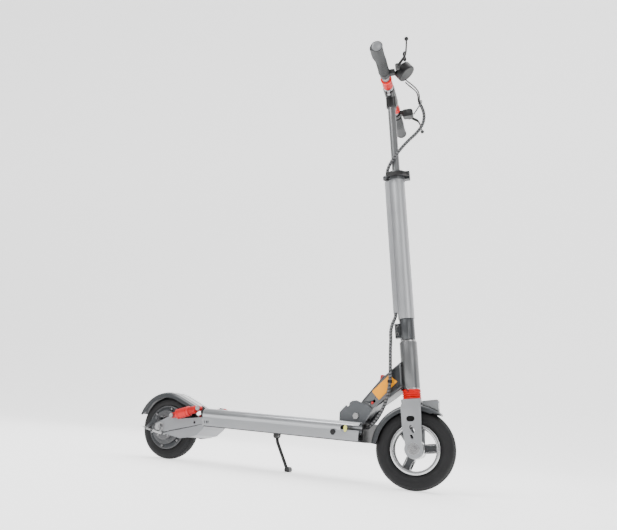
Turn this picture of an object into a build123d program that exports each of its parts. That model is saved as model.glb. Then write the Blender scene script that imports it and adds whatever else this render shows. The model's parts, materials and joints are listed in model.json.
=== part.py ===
from build123d import *
import os
from math import cos, pi, radians, sin, tan

# Electric kick scooter, millimetres. Row frame: origin on the ground under the middle of the wheelbase,
# +X forward, +Y to the rider's left, +Z up. Steering rests a little to the left, the column is pulled out.

# ---- driving dimensions ----
wheelbase = 815
front_tyre_radius = 108
front_tyre_width = 50
front_bead_radius = 67.5
rear_tyre_radius = 97
rear_tyre_width = 46
rear_bead_radius = 66.5

rake = 8.4
steer_rest = 13.5
column_out = 1057          # bar axis above the front axle, along the steering axis
column_travel = 230

deck_rear = -234.5
deck_front = 273
deck_half_width = 88
deck_bottom = 115
deck_top = 166

running_gap = 0.05         # radial clearance of a shaft in its bore
part_gap = 0.5             # clearance between bodies that pass each other
plate_gap = 0.3            # side clearance of a plate in a fork or slot

# ---- deck ----
rail_radius = 17
rail_wall = 2.6
band_height = 21
band_inset = 2.5
band_wall = 3
web_thickness = 3
web_drop = 5               # web top below the rail top
mat_thickness = 3.5
mat_margin = 3
mat_front = 176
cover_thickness = 2.5
cover_inset = 2
battery_length = 300
battery_width = 104
battery_height = 34
controller_length = 108
controller_width = 84
controller_height = 30
block_nose = 3.5           # front block proud of the rails
loom_gland_left = -39.5    # where the loom enters the front block
loom_gland_height = 156
loom_gland_radius = 7
loom_gland_length = 5
reflector_wide = 10
reflector_thickness = 2
scoop_length = 44
scoop_height = 20
scoop_depth = 4
port_forward = 197
port_height = 134
port_cap_radius = 7.5
port_cap_thickness = 2.5
port_pocket_radius = 9.5
drain_slot_length = 9
drain_slot_width = 3.2
drain_slot_pitch = 6.5
drain_slot_margin = 9

# ---- folding hinge and neck ----
hinge_forward = 240.7      # fold bolt
hinge_height = 182.4
fold_bolt_radius = 5
hinge_plate_inner = 32
hinge_plate_thickness = 5
neck_half_width = 30
neck_wall = 3
head_tube_radius = 24.3
head_tube_bore = 19.5
head_tube_bottom = 164
head_tube_top = 292
head_ring_height = 4
latch_pin_radius = 3.6
latch_travel = 7
latch_reach = 58           # latch pin from the fold bolt
latch_angle = 43
lever_thickness = 4
lever_half_width = 12

# ---- steerer, fork and front wheel ----
steerer_radius = 14
steerer_bore = 11
steerer_bottom = 140
slider_radius = 17
slider_top = 149
fork_travel = 10
crown_bottom = 123
crown_top = 131
leg_inner = 50
leg_thickness = 6
axle_radius = 6
dropout_radius = 25
front_axle_half = 63
bearing_radius = 13
bearing_width = 8
hub_half_width = 24
hub_radius = 25
rim_barrel_radius = 61
rim_wall = 3
spoke_width = 19
spoke_half_thickness = 11
fender_gap = 9             # tyre to fender
fender_wall = 2.5
fender_half_width = 34
front_fender_start = 48
front_fender_end = 170
lamp_half_width = 22
lamp_front = 72
lamp_back = 29

# ---- clamp, column and bars ----
clamp_radius = 21
clamp_bottom = 299
clamp_top = 358
clamp_ear_back = 34
clamp_ear_half = 9
clamp_ear_top = 346
clamp_bolt_radius = 3
column_radius = 23
column_bore = 20.5
column_top = 775
channel_bottom = 378       # the loom leaves the channel here
channel_back = 35.5
channel_front = 23.1       # loom space in the channel
channel_half_width = 8
channel_wall = 1.6
inner_radius = 11.5
inner_bore = 9.3
inner_bottom = 655
collar_radius = 27
collar_height = 25
collar_spigot = 20
collar_ear_front = 40
collar_ear_half = 9
qr_pivot_radius = 3
collar_flat = 17.5         # flat behind the collar, for the loom
guide_back = 28.5            # cable guide ring behind the collar
guide_radius = 9
guide_wall = 3
guide_height = 9
block_radius = 17
block_half_length = 47
block_socket_bottom = 1014
bar_radius = 11.1
bar_wall = 2
bar_end = 287
hinge_collar_radius = 15.5
hinge_collar_end = 61
bar_pivot_out = 50
bar_pivot_drop = 21.5
bar_pin_radius = 2.5
lug_half = 4
ear_thickness = 5
sleeve_start = 62
sleeve_length = 42
sleeve_radius = 16.5
sleeve_travel = 14
grip_start = 150
grip_end = 292
grip_radius = 16
pod_start = 127
pod_end = 145
display_radius = 27
display_thickness = 26

# ---- rear end ----
swing_pivot_ahead = 163    # from the rear axle
swing_pivot_above = 33.4
swing_pin_radius = 6
swing_plate_inner = 56
swing_plate_thickness = 5
swing_end_radius = 17
swing_lug_radius = 9       # round the swingarm pivot
shock_lug_radius = 8
shock_low_ahead = 52.7
shock_low_above = 38.2
shock_top_ahead = 145.8
shock_top_above = 66.5
shock_out = 70
shock_eye_radius = 8
shock_eye_half = 6
shock_pin_radius = 4
shock_body_radius = 15
shock_rod_radius = 9
rear_axle_half = 74
motor_half_width = 24
motor_cover_radius = 60
brake_plate_radius = 38
brake_plate_inner = 31
brake_plate_outer = 40
brake_cam_behind = 7
brake_cam_above = 25.7
rear_fender_half_width = 36
rear_fender_start = 68
rear_fender_end = 162
skirt_drop = 18            # fender skirt below its crown
rear_fender_nose = 90      # straight run of the fender towards the deck

# ---- kickstand ----
stand_pivot_forward = -63
stand_pivot_left = 72
stand_pivot_drop = 8       # pivot below the deck cover
stand_foot_forward = -30
stand_foot_left = 104
stand_leg_radius = 5
stand_hub_half = 6

# ---- cords ----
loom_radius = 5
cable_radius = 2
lamp_wire_radius = 1.5

front_axle_height = front_tyre_radius
rear_axle_height = rear_tyre_radius


class Frame:
    """An origin with three working planes: top (x forward, y left), side (x forward, y up, seen from the
    right, offset to the right) and front (x left, y up, offset forward)."""

    def __init__(self, origin, forward, up):
        self.top = Plane(origin=origin, x_dir=forward, z_dir=up)
        left = self.top.y_dir
        self.side = Plane(origin=origin, x_dir=forward, z_dir=-left)
        self.front = Plane(origin=origin, x_dir=left, z_dir=forward)
        self.forward_axis = Axis(origin, forward)
        self.left_axis = Axis(origin, left)
        self.up_axis = Axis(origin, up)

    def point(self, forward, left, up):
        return self.top.from_local_coords(Vector(forward, left, up))

    def radial(self, angle):
        """Gives a plane through the cross axis: x points out, at an angle above forward, and y to the left."""
        out = self.forward_axis.direction * cos(radians(angle)) + self.up_axis.direction * sin(radians(angle))
        return Plane(origin=self.top.origin, x_dir=out, z_dir=out.cross(self.left_axis.direction))


deck = Frame((0, 0, 0), (1, 0, 0), (0, 0, 1))
rear = Frame((-wheelbase / 2, 0, rear_axle_height), (1, 0, 0), (0, 0, 1))
axis_up = Vector(-sin(radians(rake)), 0, cos(radians(rake)))
axis_forward = Vector(cos(radians(rake)), 0, sin(radians(rake)))
front_axle = (wheelbase / 2, 0, front_axle_height)
head = Frame(front_axle, axis_forward, axis_up)
steer = Frame(front_axle, axis_forward.rotate(Axis((0, 0, 0), axis_up), steer_rest), axis_up)
hinge = Frame((hinge_forward, 0, hinge_height), (1, 0, 0), (0, 0, 1))

os.makedirs("parts", exist_ok=True)


def rod(frame, forward, up, radius, start, end):
    """Adds a round bar across the frame, from start to end, measured to the right."""
    with BuildSketch(frame.side.offset(start)) as outline:
        with Locations((forward, up)):
            Circle(radius)
    extrude(outline.sketch, amount=end - start)


def cross_hole(frame, forward, up, radius, half):
    """Cuts a round hole across the frame through both sides."""
    with BuildSketch(frame.side) as outline:
        with Locations((forward, up)):
            Circle(radius)
    extrude(outline.sketch, amount=half, both=True, mode=Mode.SUBTRACT)


def hexagon_nut(frame, forward, up, across, bore, start, end):
    """Adds a hexagonal nut, or a bolt head where bore is 0, with its axis across the frame."""
    with BuildSketch(frame.side.offset(start)) as outline:
        with Locations((forward, up)):
            RegularPolygon(across / 2, 6, major_radius=False)
            if bore:
                Circle(bore, mode=Mode.SUBTRACT)
    extrude(outline.sketch, amount=end - start)


def turned(frame, points):
    """Adds a turned piece about the frame's cross axis, from (across, radius) points."""
    with BuildSketch(frame.front) as outline:
        with BuildLine():
            Polyline(*points, close=True)
        make_face()
    revolve(outline.sketch, axis=frame.left_axis)


def upright(frame, radius, bore, bottom, top):
    """Adds a round tube, or a solid bar where bore is 0, along the frame's up axis."""
    with BuildSketch(frame.top.offset(bottom)) as outline:
        Circle(radius)
        if bore:
            Circle(bore, mode=Mode.SUBTRACT)
    extrude(outline.sketch, amount=top - bottom)


# ================= deck =================

rail_axis_height = deck_top - rail_radius
rail_axis_out = deck_half_width - rail_radius
band_outer = deck_half_width - band_inset
band_inner = rail_axis_out - rail_radius + band_wall
web_top = deck_top - web_drop

with BuildPart() as deck_frame:
    with BuildSketch(deck.front.offset(deck_rear)):
        for side in (1, -1):
            with Locations((side * rail_axis_out, rail_axis_height)):
                Circle(rail_radius)
            with Locations((side * (band_outer + band_inner - band_wall) / 2, deck_bottom + band_height)):
                Rectangle(band_outer - band_inner + band_wall, 2 * band_height)
        with Locations((0, web_top - web_thickness / 2)):
            Rectangle(2 * rail_axis_out, web_thickness)
        for side in (1, -1):
            with Locations((side * rail_axis_out, rail_axis_height)):
                Circle(rail_radius - rail_wall, mode=Mode.SUBTRACT)
            with Locations((side * (band_outer + band_inner - band_wall) / 2, deck_bottom + band_height / 2)):
                Rectangle(band_outer - band_inner - band_wall, band_height - 2 * band_wall, mode=Mode.SUBTRACT)
    extrude(amount=deck_front - deck_rear)
    for side in (1, -1):
        scoop_middle = deck_front - scoop_length / 2
        with BuildSketch(deck.side.offset(side * (deck_half_width - scoop_depth))):
            with Locations((scoop_middle, rail_axis_height - 3)):
                SlotOverall(scoop_length + scoop_height, scoop_height)
        extrude(amount=side * scoop_depth, mode=Mode.SUBTRACT)
    with BuildSketch(deck.side.offset(band_outer)):
        with Locations((port_forward, port_height)):
            Circle(port_pocket_radius)
    extrude(amount=deck_half_width - band_outer, mode=Mode.SUBTRACT)
    for side in (1, -1):
        with BuildSketch(deck.side.offset(side * (band_outer - band_wall))):
            for slot in range(3):
                slot_forward = deck_rear + drain_slot_margin + slot * drain_slot_pitch
                with Locations((slot_forward, deck_bottom + band_height / 2)):
                    SlotOverall(drain_slot_length, drain_slot_width, rotation=90)
        extrude(amount=side * band_wall, mode=Mode.SUBTRACT)
deck_frame.part.label = "deck_frame"
export_step(deck_frame.part, "parts/deck_frame.step")

with BuildPart() as foot_mat:
    mat_length = mat_front - deck_rear - mat_margin
    mat_half_width = rail_axis_out - rail_radius * 0.75
    with BuildSketch(deck.top.offset(web_top)):
        with Locations((deck_rear + mat_margin + mat_length / 2, 0)):
            RectangleRounded(mat_length, 2 * mat_half_width, 8)
    extrude(amount=mat_thickness)
foot_mat.part.label = "foot_mat"
export_step(foot_mat.part, "parts/foot_mat.step")

with BuildPart() as deck_bottom_cover:
    cover_length = deck_front - deck_rear - 2 * cover_inset
    with BuildSketch(deck.top.offset(deck_bottom - cover_thickness)):
        with Locations(((deck_front + deck_rear) / 2, 0)):
            RectangleRounded(cover_length, 2 * (band_outer - cover_inset), 6)
    extrude(amount=cover_thickness)
    cover_bottom = deck_bottom - cover_thickness
    for wall in (-1, 1):
        stand_cheek = stand_pivot_left + wall * (stand_hub_half + plate_gap + 1.5)
        with BuildSketch(deck.side.offset(-stand_cheek - 1.5)):
            with Locations((stand_pivot_forward, cover_bottom - stand_pivot_drop)):
                Circle(8)
                with Locations((0, 4)):
                    Rectangle(16, 8)
        extrude(amount=3)
    rod(deck, stand_pivot_forward, cover_bottom - stand_pivot_drop, 3,
        -stand_pivot_left - stand_hub_half - 2, -stand_pivot_left + stand_hub_half + 2)
deck_bottom_cover.part.label = "deck_bottom_cover"
export_step(deck_bottom_cover.part, "parts/deck_bottom_cover.step")

inside_height = web_top - web_thickness - deck_bottom

with BuildPart() as deck_front_block:
    front_block_length = 36
    with BuildSketch(deck.top.offset(deck_bottom)):
        with Locations((deck_front - front_block_length / 2, 0)):
            Rectangle(front_block_length, 2 * (band_inner - band_wall))
    extrude(amount=inside_height)
    with BuildSketch(deck.front.offset(deck_front)):
        with Locations((0, (deck_bottom + web_top) / 2)):
            RectangleRounded(2 * (rail_axis_out - 8), web_top - deck_bottom + 6, 7)
    extrude(amount=block_nose)
    with BuildSketch(deck.front.offset(deck_front + block_nose)):
        with Locations((loom_gland_left, loom_gland_height)):
            Circle(loom_gland_radius)
    extrude(amount=loom_gland_length)
deck_front_block.part.label = "deck_front_block"
export_step(deck_front_block.part, "parts/deck_front_block.step")

swing_pivot = (rear.top.origin.X + swing_pivot_ahead, rear_axle_height + swing_pivot_above)
shock_top = (rear.top.origin.X + shock_top_ahead, rear_axle_height + shock_top_above)
lug_outer = swing_plate_inner - plate_gap
lug_thickness = 8
rear_block_length = 34

with BuildPart() as deck_rear_block:
    with BuildSketch(deck.top.offset(deck_bottom)):
        with Locations((deck_rear + rear_block_length / 2, 0)):
            Rectangle(rear_block_length, 2 * (band_inner - band_wall))
    extrude(amount=inside_height)
    for side in (1, -1):
        with BuildSketch(deck.side.offset(side * (lug_outer - lug_thickness))):
            with BuildLine():
                Polyline((deck_rear, deck_bottom), (deck_rear, deck_bottom + inside_height),
                         (deck_rear - 4, deck_bottom + inside_height), (swing_pivot[0] - 9, swing_pivot[1] + 1),
                         (swing_pivot[0] - 6, swing_pivot[1] - 7), close=True)
            make_face()
            with Locations(swing_pivot):
                Circle(swing_lug_radius)
        extrude(amount=side * lug_thickness)
        with BuildSketch(deck.side.offset(side * (lug_outer - lug_thickness))):
            with BuildLine():
                Polyline((deck_rear, deck_bottom + inside_height - 14), (deck_rear, deck_bottom + inside_height + 4),
                         (shock_top[0], shock_top[1] + 7), (shock_top[0] - 5, shock_top[1] - 6),
                         (deck_rear - 4, deck_bottom + inside_height - 12), close=True)
            make_face()
            with Locations(shock_top):
                Circle(shock_eye_radius)
        extrude(amount=side * lug_thickness)
    cross_hole(deck, *swing_pivot, swing_pin_radius, deck_half_width)
    cross_hole(deck, *shock_top, shock_pin_radius, deck_half_width)
deck_rear_block.part.label = "deck_rear_block"
export_step(deck_rear_block.part, "parts/deck_rear_block.step")

with BuildPart() as battery_pack:
    battery_middle = deck_front - front_block_length - 12 - battery_length / 2
    with BuildSketch(deck.top.offset(deck_bottom + 2)):
        with Locations((battery_middle, 0)):
            RectangleRounded(battery_length, battery_width, 5)
    extrude(amount=battery_height)
battery_pack.part.label = "battery_pack"
export_step(battery_pack.part, "parts/battery_pack.step")

with BuildPart() as controller:
    controller_middle = battery_middle - battery_length / 2 - 10 - controller_length / 2
    with BuildSketch(deck.top.offset(deck_bottom + 2)):
        with Locations((controller_middle, 0)):
            RectangleRounded(controller_length, controller_width, 4)
    extrude(amount=controller_height)
controller.part.label = "controller"
export_step(controller.part, "parts/controller.step")

with BuildPart() as side_reflectors:
    for side in (1, -1):
        with BuildSketch(deck.side.offset(side * (deck_half_width - scoop_depth))):
            with Locations((deck_front - scoop_length + 4, rail_axis_height - 3)):
                Ellipse(reflector_wide / 2, scoop_height / 2 - 0.6)
        extrude(amount=side * reflector_thickness)
side_reflectors.part.label = "side_reflectors"
export_step(side_reflectors.part, "parts/side_reflectors.step")

with BuildPart() as charge_port_cap:
    with BuildSketch(deck.side.offset(band_outer + plate_gap)):
        with Locations((port_forward, port_height)):
            Circle(port_cap_radius)
            with Locations((0, -port_cap_radius + 1)):
                Rectangle(7, 4)
    extrude(amount=port_cap_thickness)
    fillet(charge_port_cap.faces().sort_by(Axis.Y)[0].edges(), 0.6)
charge_port_cap.part.label = "charge_port_cap"
export_step(charge_port_cap.part, "parts/charge_port_cap.step")

with BuildPart() as hinge_plates:
    for side in (1, -1):
        with BuildSketch(hinge.side.offset(side * hinge_plate_inner)):
            with BuildLine():
                Polyline((-49.5, web_top - hinge_height), (-51, 7), (-42, 17.6), (-32.6, 27.6), (-27.5, 23.2),
                         (-23.4, 28.2), (-22.9, 35.3), (-15, 40.8), (-1.5, 43.2), (6.4, 39.9), (33, 33.5),
                         (47.2, 20), (26.5, -17), (26.5, web_top - hinge_height), close=True)
            make_face()
        extrude(amount=side * hinge_plate_thickness)
    cross_hole(hinge, 0, 0, fold_bolt_radius + running_gap, deck_half_width)
    with BuildSketch(hinge.top.offset(web_top - hinge_height)):
        with Locations((-11.5, 0)):
            Rectangle(76, 2 * (hinge_plate_inner + hinge_plate_thickness))
    extrude(amount=2)
hinge_plates.part.label = "hinge_plates"
export_step(hinge_plates.part, "parts/hinge_plates.step")

with BuildPart() as frame_bolts:
    plate_outer = hinge_plate_inner + hinge_plate_thickness
    rod(hinge, 0, 0, fold_bolt_radius, -plate_outer, plate_outer)
    for side in (1, -1):
        hexagon_nut(hinge, 0, 0, 16, 0, side * plate_outer, side * (plate_outer + 4))
    swing_outer = swing_plate_inner + swing_plate_thickness
    rod(deck, *swing_pivot, swing_pin_radius, -swing_outer, swing_outer)
    for side in (1, -1):
        hexagon_nut(deck, *swing_pivot, 13, 0, side * swing_outer + side * plate_gap, side * (swing_outer + 2.6))
        rod(deck, *swing_pivot, swing_pin_radius, side * swing_outer, side * (swing_outer + 1))
        rod(deck, *shock_top, shock_pin_radius, side * (lug_outer - lug_thickness), side * (shock_out + shock_eye_half + 1))
        hexagon_nut(deck, *shock_top, 12, 0, side * (shock_out + shock_eye_half + plate_gap),
                    side * (shock_out + shock_eye_half + 5))
        with BuildSketch(deck.front.offset(deck_rear + 8)):
            with Locations((side * rail_axis_out, rail_axis_height)):
                Circle(rail_radius - rail_wall)
        extrude(amount=-5)
        with BuildSketch(deck.front.offset(deck_rear + 3)):
            with Locations((side * rail_axis_out, rail_axis_height)):
                RegularPolygon(6, 6)
        extrude(amount=-5)
frame_bolts.part.label = "frame_bolts"
export_step(frame_bolts.part, "parts/frame_bolts.step")

# ================= kickstand =================

with BuildPart() as kickstand_leg:
    stand_top = Vector(stand_pivot_forward, stand_pivot_left, cover_bottom - stand_pivot_drop)
    stand_foot = Vector(stand_foot_forward, stand_foot_left, 0)
    stand_knee = Vector(stand_pivot_forward + 4, stand_pivot_left, stand_top.Z - 18)
    with BuildLine() as stand_path:
        FilletPolyline(stand_top, stand_knee, stand_foot, radius=20)
    with BuildSketch(Plane(origin=stand_path.line @ 0, z_dir=stand_path.line % 0)):
        Circle(stand_leg_radius)
    sweep(path=stand_path.line)
    with BuildSketch(deck.side.offset(-stand_pivot_left - stand_hub_half)):
        with Locations((stand_top.X, stand_top.Z)):
            Circle(stand_leg_radius + 2)
    extrude(amount=2 * stand_hub_half)
    rod(deck, stand_foot_forward, 7, 9, -stand_foot_left - 9, -stand_foot_left + 9)
    with BuildSketch(deck.top):
        with Locations((stand_foot_forward, stand_foot_left)):
            Rectangle(60, 60)
    extrude(amount=-30, mode=Mode.SUBTRACT)
    cross_hole(deck, stand_top.X, stand_top.Z, 3 + running_gap, 2 * deck_half_width)
kickstand_leg.part.label = "kickstand_leg"
export_step(kickstand_leg.part, "parts/kickstand_leg.step")

# ================= rear end =================

with BuildPart() as swingarm:
    for side in (1, -1):
        with BuildSketch(rear.side.offset(side * swing_plate_inner)):
            Circle(swing_end_radius)
            with Locations((shock_low_ahead, shock_low_above)):
                Circle(shock_lug_radius)
            with Locations((swing_pivot_ahead, swing_pivot_above)):
                Circle(swing_lug_radius)
            with BuildLine():
                Polyline((-9, 14.4), (38, 37), (46, 45.4), (59, 43.3), (69, 30), (160, 42), (168, 26),
                         (124, 13), (8, -15.5), close=True)
            make_face()
        extrude(amount=side * swing_plate_thickness)
    rod(rear, 128, 24, 8, -swing_plate_inner, swing_plate_inner)
    cross_hole(rear, 0, 0, axle_radius, deck_half_width)
    cross_hole(rear, 128, 24, 4, deck_half_width)
    cross_hole(rear, swing_pivot_ahead, swing_pivot_above, swing_pin_radius + running_gap, deck_half_width)
    cross_hole(rear, shock_low_ahead, shock_low_above, shock_pin_radius, deck_half_width)
swingarm.part.label = "swingarm"
export_step(swingarm.part, "parts/swingarm.step")

guard_outline = ((10, -17.5), (78, -28), (109, -22.5), (137, -14), (158, 5), (167, 17.5), (160, 22), (124, 11.5))
with BuildPart() as tail_guard:
    skirt_thickness = 2.5
    skirt_outer = swing_plate_inner + swing_plate_thickness
    for side in (1, -1):
        with BuildSketch(rear.side.offset(side * (skirt_outer - skirt_thickness - 3))):
            with BuildLine():
                Polyline(*guard_outline, close=True)
            make_face()
        extrude(amount=side * skirt_thickness)
    with BuildSketch(rear.side):
        with BuildLine():
            Polyline((104, -23.4), (109, -22.5), (137, -14), (158, 5), (167, 17.5), (164.5, 18.8), (156, 6.8),
                     (135.6, -11.8), (108.2, -20.1), (104, -20.9), close=True)
        make_face()
    extrude(amount=skirt_outer - skirt_thickness - 3, both=True)
tail_guard.part.label = "tail_guard"
export_step(tail_guard.part, "parts/tail_guard.step")


def fender_section(plane, half_width, inner, outer, drop, wall):
    """Draws a fender's arch on a plane (x = radius, y = across): crown, rounded corners and two skirts."""
    with BuildSketch(plane) as outline:
        with BuildLine():
            Polyline((outer - drop, -half_width), (outer - 7, -half_width), (outer - 1.5, -half_width + 7),
                     (outer, -half_width + 16), (outer, half_width - 16), (outer - 1.5, half_width - 7),
                     (outer - 7, half_width), (outer - drop, half_width), (outer - drop, half_width - wall),
                     (inner - 5.5, half_width - wall), (inner - 1, half_width - 8.5), (inner, half_width - 17),
                     (inner, -half_width + 17), (inner - 1, -half_width + 8.5), (inner - 5.5, -half_width + wall),
                     (outer - drop, -half_width + wall), close=True)
        make_face()
    return outline.sketch


rear_fender_inner = rear_tyre_radius + fender_gap + 1
rear_fender_outer = rear_fender_inner + fender_wall
with BuildPart() as rear_fender:
    fender_plane = rear.radial(rear_fender_start)
    arch = fender_section(fender_plane, rear_fender_half_width, rear_fender_inner, rear_fender_outer,
                          skirt_drop, fender_wall)
    revolve(arch, axis=Axis(rear.top.origin, -rear.top.y_dir), revolution_arc=rear_fender_end - rear_fender_start)
    extrude(arch, amount=-rear_fender_nose)
    with BuildSketch(rear.side):
        with BuildLine():
            Polyline((113, 71), (116.5, 69.5), (129, 33), (121, 33), close=True)
        make_face()
    extrude(amount=16, both=True)
rear_fender.part.label = "rear_fender"
export_step(rear_fender.part, "parts/rear_fender.step")

with BuildPart() as tail_light:
    lamp_angle = 150
    lamp_plane = rear.radial(lamp_angle)
    with BuildSketch(Plane(origin=lamp_plane.origin + lamp_plane.x_dir * rear_fender_outer,
                           x_dir=rear.top.y_dir, z_dir=lamp_plane.x_dir)):
        RectangleRounded(40, 16, 5)
    extrude(amount=4)
    fillet(tail_light.faces().sort_by(Axis(rear.top.origin, lamp_plane.x_dir))[-1].edges(), 1.2)
tail_light.part.label = "tail_light"
export_step(tail_light.part, "parts/tail_light.step")

with BuildPart() as rear_axle:
    rod(rear, 0, 0, axle_radius, -rear_axle_half, rear_axle_half)
    for side in (1, -1):
        hexagon_nut(rear, 0, 0, 19, axle_radius, side * swing_outer, side * (rear_axle_half - 3))
rear_axle.part.label = "rear_axle"
export_step(rear_axle.part, "parts/rear_axle.step")

with BuildPart() as brake_plate:
    with BuildSketch(rear.side.offset(brake_plate_inner)):
        Circle(brake_plate_radius)
        Circle(axle_radius, mode=Mode.SUBTRACT)
    extrude(amount=brake_plate_outer - brake_plate_inner)
    fillet(brake_plate.faces().sort_by(Axis.Y)[0].edges().sort_by(SortBy.LENGTH)[-1], 3)
    with BuildSketch(rear.side.offset(brake_plate_outer)):
        Circle(12)
        Circle(axle_radius, mode=Mode.SUBTRACT)
    extrude(amount=swing_plate_inner - brake_plate_outer)
    with BuildSketch(rear.side.offset(brake_plate_outer)):
        with Locations((-brake_cam_behind, brake_cam_above)):
            Circle(8)
    extrude(amount=6)
    cross_hole(rear, -brake_cam_behind, brake_cam_above, 4.5 + running_gap, deck_half_width)
brake_plate.part.label = "brake_plate"
export_step(brake_plate.part, "parts/brake_plate.step")

arm_end = (-42, -8)
arm_width = 8
arm_slot = 4
arm_start = swing_outer + 3
with BuildPart() as brake_arm:
    rod(rear, -brake_cam_behind, brake_cam_above, 4.5, brake_plate_inner + 3, arm_start + arm_width + 3)
    with BuildSketch(rear.side.offset(arm_start)):
        with Locations((-brake_cam_behind, brake_cam_above)):
            Circle(8)
        with Locations(arm_end):
            Circle(5.5)
        with BuildLine():
            Polyline((-brake_cam_behind - 7.5, brake_cam_above + 3), (-30, 12), (-47, -6), (-38, -12),
                     (-22, 6), (-brake_cam_behind + 2, brake_cam_above - 7.5), close=True)
        make_face()
    extrude(amount=arm_width)
    with BuildSketch(rear.side.offset(arm_start + (arm_width - arm_slot) / 2)):
        with Locations((arm_end[0], arm_end[1])):
            Rectangle(46, 30)
    extrude(amount=arm_slot, mode=Mode.SUBTRACT)
brake_arm.part.label = "brake_arm"
export_step(brake_arm.part, "parts/brake_arm.step")

adjuster_start = Vector(8, 0, -18)
adjuster_end = Vector(-61, 0, -4)
with BuildPart() as cable_adjuster:
    adjuster_out = arm_start + arm_width / 2
    wire_from = rear.point(adjuster_start.X, -adjuster_out, adjuster_start.Z)
    wire_to = rear.point(adjuster_end.X, -adjuster_out, adjuster_end.Z)
    wire_plane = Plane(origin=wire_from, z_dir=wire_to - wire_from)
    wire_length = (wire_to - wire_from).length
    with BuildSketch(wire_plane):
        Circle(3.6)
    extrude(amount=26)
    with BuildSketch(wire_plane):
        Circle(1.1)
    extrude(amount=wire_length)
    with BuildSketch(wire_plane.offset(wire_length - 13.5)):
        Circle(3.2)
    extrude(amount=7)
    with BuildSketch(rear.side.offset(swing_outer)):
        with Locations((12, -18)):
            RectangleRounded(12, 8, 2)
    extrude(amount=adjuster_out - swing_outer + 3)
cable_adjuster.part.label = "cable_adjuster"
export_step(cable_adjuster.part, "parts/cable_adjuster.step")

with BuildPart() as shock_lower_bolts:
    for side in (1, -1):
        bolt_outer = shock_out + shock_eye_half + 0.5
        rod(rear, shock_low_ahead, shock_low_above, shock_pin_radius, side * (swing_plate_inner - 3), side * bolt_outer)
        hexagon_nut(rear, shock_low_ahead, shock_low_above, 12, 0, side * bolt_outer, side * (bolt_outer + 5))
shock_lower_bolts.part.label = "shock_lower_bolts"
export_step(shock_lower_bolts.part, "parts/shock_lower_bolts.step")

rear_crown = 12
with BuildPart() as rear_tyre:
    half = rear_tyre_width / 2
    turned(rear, ((-half + 5, rear_bead_radius), (-half, rear_bead_radius + 7), (-half, rear_tyre_radius - 12),
                  (-half + 4, rear_tyre_radius - 4), (-rear_crown, rear_tyre_radius - 0.6), (0, rear_tyre_radius),
                  (rear_crown, rear_tyre_radius - 0.6), (half - 4, rear_tyre_radius - 4),
                  (half, rear_tyre_radius - 12), (half, rear_bead_radius + 7), (half - 5, rear_bead_radius)))
rear_tyre.part.label = "rear_tyre"
export_step(rear_tyre.part, "parts/rear_tyre.step")

with BuildPart() as hub_motor:
    half = motor_half_width
    bore = axle_radius + running_gap
    turned(rear, ((-half, bore), (-half, rear_bead_radius - 8), (-half + 2, rear_bead_radius),
                  (half - 2, rear_bead_radius), (half, rear_bead_radius - 8), (half, bore)))
    for side in (1, -1):
        with BuildSketch(rear.side.offset(side * half)):
            Circle(motor_cover_radius - 6)
            Circle(bore, mode=Mode.SUBTRACT)
        extrude(amount=side * (brake_plate_inner - half - part_gap), taper=20)
    with BuildSketch(rear.side):
        with PolarLocations(motor_cover_radius - 2, 6, start_angle=80):
            RectangleRounded(9, 13, 2)
    extrude(amount=half + 1, both=True, mode=Mode.SUBTRACT)
    with BuildSketch(rear.side):
        Circle(rear_bead_radius - 1)
        Circle(bore, mode=Mode.SUBTRACT)
    extrude(amount=half - 5, both=True)
    with BuildSketch(rear.side):
        with PolarLocations(motor_cover_radius - 2, 6, start_angle=80):
            Circle(2.4)
    extrude(amount=half - 2, both=True)
hub_motor.part.label = "hub_motor"
export_step(hub_motor.part, "parts/hub_motor.step")

shock_low = Vector(shock_low_ahead, 0, shock_low_above)
shock_high = Vector(shock_top_ahead, 0, shock_top_above)
shock_run = shock_high - shock_low
shock_length = shock_run.length
shock_frame = Frame(rear.point(*shock_high), -Vector(shock_run).normalized(),
                    Vector(shock_run).normalized().cross(Vector(0, 1, 0)) * -1)
shock_body_start = 34      # from the top eye, along the shock
shock_rod_end = 74

with BuildPart() as shock_rods:
    for side in (1, -1):
        with BuildSketch(shock_frame.side.offset(side * (shock_out - shock_eye_half))):
            Circle(shock_eye_radius)
            with Locations((8, 0)):
                Rectangle(16, 2 * shock_eye_radius - 2)
            Circle(shock_pin_radius + running_gap, mode=Mode.SUBTRACT)
        extrude(amount=side * 2 * shock_eye_half)
        with BuildSketch(shock_frame.front.offset(12)):
            with Locations((-side * shock_out, 0)):
                Circle(shock_rod_radius)
        extrude(amount=shock_rod_end - 12 - 10)
shock_rods.part.label = "shock_rods"
export_step(shock_rods.part, "parts/shock_rods.step")

with BuildPart() as shock_bodies:
    for side in (1, -1):
        with BuildSketch(shock_frame.front.offset(shock_body_start)):
            with Locations((-side * shock_out, 0)):
                Circle(shock_body_radius)
                Circle(shock_rod_radius + 0.3, mode=Mode.SUBTRACT)
        extrude(amount=shock_rod_end - shock_body_start)
        with BuildSketch(shock_frame.front.offset(shock_rod_end)):
            with Locations((-side * shock_out, 0)):
                Circle(shock_body_radius)
        extrude(amount=8)
        with BuildSketch(shock_frame.side.offset(side * (shock_out - shock_eye_half))):
            with Locations((shock_length, 0)):
                Circle(shock_eye_radius)
            with Locations((shock_length - 9, 0)):
                Rectangle(18, 2 * shock_eye_radius - 2)
            with Locations((shock_length, 0)):
                Circle(shock_pin_radius + 0.7, mode=Mode.SUBTRACT)
        extrude(amount=side * 2 * shock_eye_half)
shock_bodies.part.label = "shock_bodies"
export_step(shock_bodies.part, "parts/shock_bodies.step")

# ================= neck =================

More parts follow.
